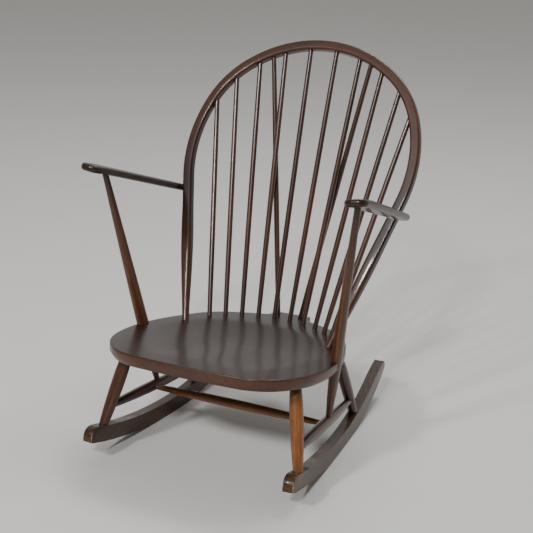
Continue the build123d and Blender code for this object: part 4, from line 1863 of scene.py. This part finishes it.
    def build(self, lathe: Lathe, finishes: Finishes) -> None:
        """Build arms, posts and the plugs over their screws.

        Args:
            lathe: The lathe, for the plugs.
            finishes: Finishes of the chair.
        """
        boards = itertools.count(Board.ARMS)
        pieces = (
            ("arm", self.arm_shape(), finishes.bent),
            ("arm_post", self.post_shape(), finishes.post),
        )
        for node, shape, finish in pieces:
            for side in Side:
                piece = shape.to_object(f"shaped_{node}_{side.word}", side, next(boards))
                piece.data.materials.append(finish)
                hand_over(piece, f"{node}_{side.word}")
        for node, (face, out) in self.plugs().items():
            bar = TurnedBar(
                face - out * self.plug / 2, face + out * self.plug_proud,
                self.plug, self.plug, self.plug * self.plug_head, self.plug_straight, 0.0, 0.0,
            )
            pair = []
            for side in Side:
                board = Board.PLUG_PAIR + side.value
                pair.append(lathe.turn(f"{node}_{side.word}", bar, side, board, finishes.plug))
            hand_over(joined(f"turned_{node}", pair), node)


def joined(name: str, parts: list[bpy.types.Object]) -> bpy.types.Object:
    """One object of several, which are removed.

    Args:
        name: Name of the new object.
        parts: Objects at the origin.

    Returns:
        The new object.
    """
    mesh = bpy.data.meshes.new(name)
    work = bmesh.new()
    for part in parts:
        work.from_mesh(part.data)
    work.to_mesh(mesh)
    work.free()
    mesh.materials.append(parts[0].data.materials[0])
    for part in parts:
        bpy.data.objects.remove(part)
    return in_scene(name, mesh)


# ---- studio -----------------------------------------------------------------
@dataclass(frozen=True)
class Softbox:
    """Rectangular area light, which no camera sees."""

    name: str
    place: tuple[float, float, float]
    aim: tuple[float, float, float]
    wide: float
    tall: float
    power: float

    def hang(self) -> None:
        """Add the light to the scene."""
        lamp = bpy.data.lights.new(self.name, "AREA")
        lamp.shape = "RECTANGLE"
        lamp.size, lamp.size_y = self.wide, self.tall
        lamp.energy = self.power
        holder = in_scene(self.name, lamp)
        holder.location = self.place
        aim = Vector(self.aim) - Vector(self.place)
        holder.rotation_euler = aim.to_track_quat("-Z", "Y").to_euler()
        holder.visible_camera = False


@dataclass(frozen=True)
class Studio:
    """Pale floor, light all round with three softboxes, and the camera, in metres."""

    floor_half: float = 30.0
    camera_place: tuple[float, float, float] = (1.3183, -2.5576, 1.4108)
    pitch: float = 71.21
    heading: float = 26.93
    lens: float = 81.06
    back_light: str = "#ece9e6"       # light from behind the chair, as from a white wall
    front_light: str = "#6f6a66"      # light from the room in front of it
    front_to: float = -0.3            # Y of a direction, up to which this light is alone
    back_from: float = 0.5            # and from which the other one is
    light_strength: float = 0.78
    lights: tuple[Softbox, ...] = (
        Softbox("left key", (-2.0, -5.9, 5.4), (0.0, 0.0, 0.4), 0.8, 0.8, 290.0),
        Softbox("right key", (1.2, -6.2, 5.4), (0.0, 0.0, 0.4), 0.8, 0.8, 320.0),
        Softbox("ceiling softbox", (0.4, 1.6, 4.0), (0.0, 0.0, 0.2), 1.8, 1.0, 70.0),
    )

    def build(self) -> None:
        """Set up the studio."""
        self._floor()
        for light in self.lights:
            light.hang()
        self._surroundings()
        camera = bpy.data.cameras.new("camera")
        camera.lens = self.lens
        holder = in_scene("camera", camera)
        holder.location = self.camera_place
        holder.rotation_euler = (radians(self.pitch), 0.0, radians(self.heading))
        bpy.context.scene.camera = holder

    def _surroundings(self) -> None:
        """Light the studio all round, brighter from behind the chair than from the front."""
        world = bpy.data.worlds.new("studio light")
        world.use_nodes = True
        tree = world.node_tree
        direction = add_node(tree, "ShaderNodeTexCoord").outputs["Generated"]
        split = add_node(tree, "ShaderNodeSeparateXYZ", {0: direction})
        behind = add_node(
            tree,
            "ShaderNodeMapRange",
            {"Value": split.outputs["Y"], "From Min": self.front_to, "From Max": self.back_from},
            interpolation_type="SMOOTHSTEP",
        )
        ramp = add_node(tree, "ShaderNodeValToRGB", {"Fac": behind.outputs["Result"]})
        ramp.color_ramp.elements[0].color = linear(self.front_light)
        ramp.color_ramp.elements[1].color = linear(self.back_light)
        background = tree.nodes["Background"]
        tree.links.new(ramp.outputs["Color"], background.inputs["Color"])
        background.inputs["Strength"].default_value = self.light_strength
        bpy.context.scene.world = world

    def _floor(self) -> None:
        """Lay the floor."""
        half = self.floor_half
        mesh = bpy.data.meshes.new("studio_floor")
        corners = [(-half, -half, 0), (half, -half, 0), (half, half, 0), (-half, half, 0)]
        mesh.from_pydata(corners, [], [(0, 1, 2, 3)])
        mesh.materials.append(StudioFloor().material())
        in_scene("studio_floor", mesh)


def dress_screws(frame: dict, finish: bpy.types.Material) -> None:
    """Give the hidden screws of the frame their steel.

    Args:
        frame: The loaded frame.
        finish: Finish of the screws.
    """
    for node in ("arm_screws", "post_screws"):
        for slot in frame["nodes"][node].material_slots:
            slot.material = finish
        LOG.info("%s dressed", node)


def main() -> None:
    """Build the chair piece by piece."""
    logging.basicConfig(level=logging.INFO, format="%(name)s: %(message)s")
    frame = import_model()
    finishes = Finishes.mix()
    lathe = Lathe()
    seat = SeatBoard()
    rockers = RockerPair()
    hoop = Hoop(seat)
    under = Undercarriage(seat, rockers)
    seat.build(finishes.seat)
    rockers.build(finishes.rocker)
    hoop.build(finishes.bent)
    under.build(lathe, finishes)
    BackSticks(seat, hoop).build(lathe, finishes.stick)
    Arms(seat, hoop, under).build(lathe, finishes)
    dress_screws(frame, finishes.steel)
    Studio().build()


if __name__ == "__main__":
    main()
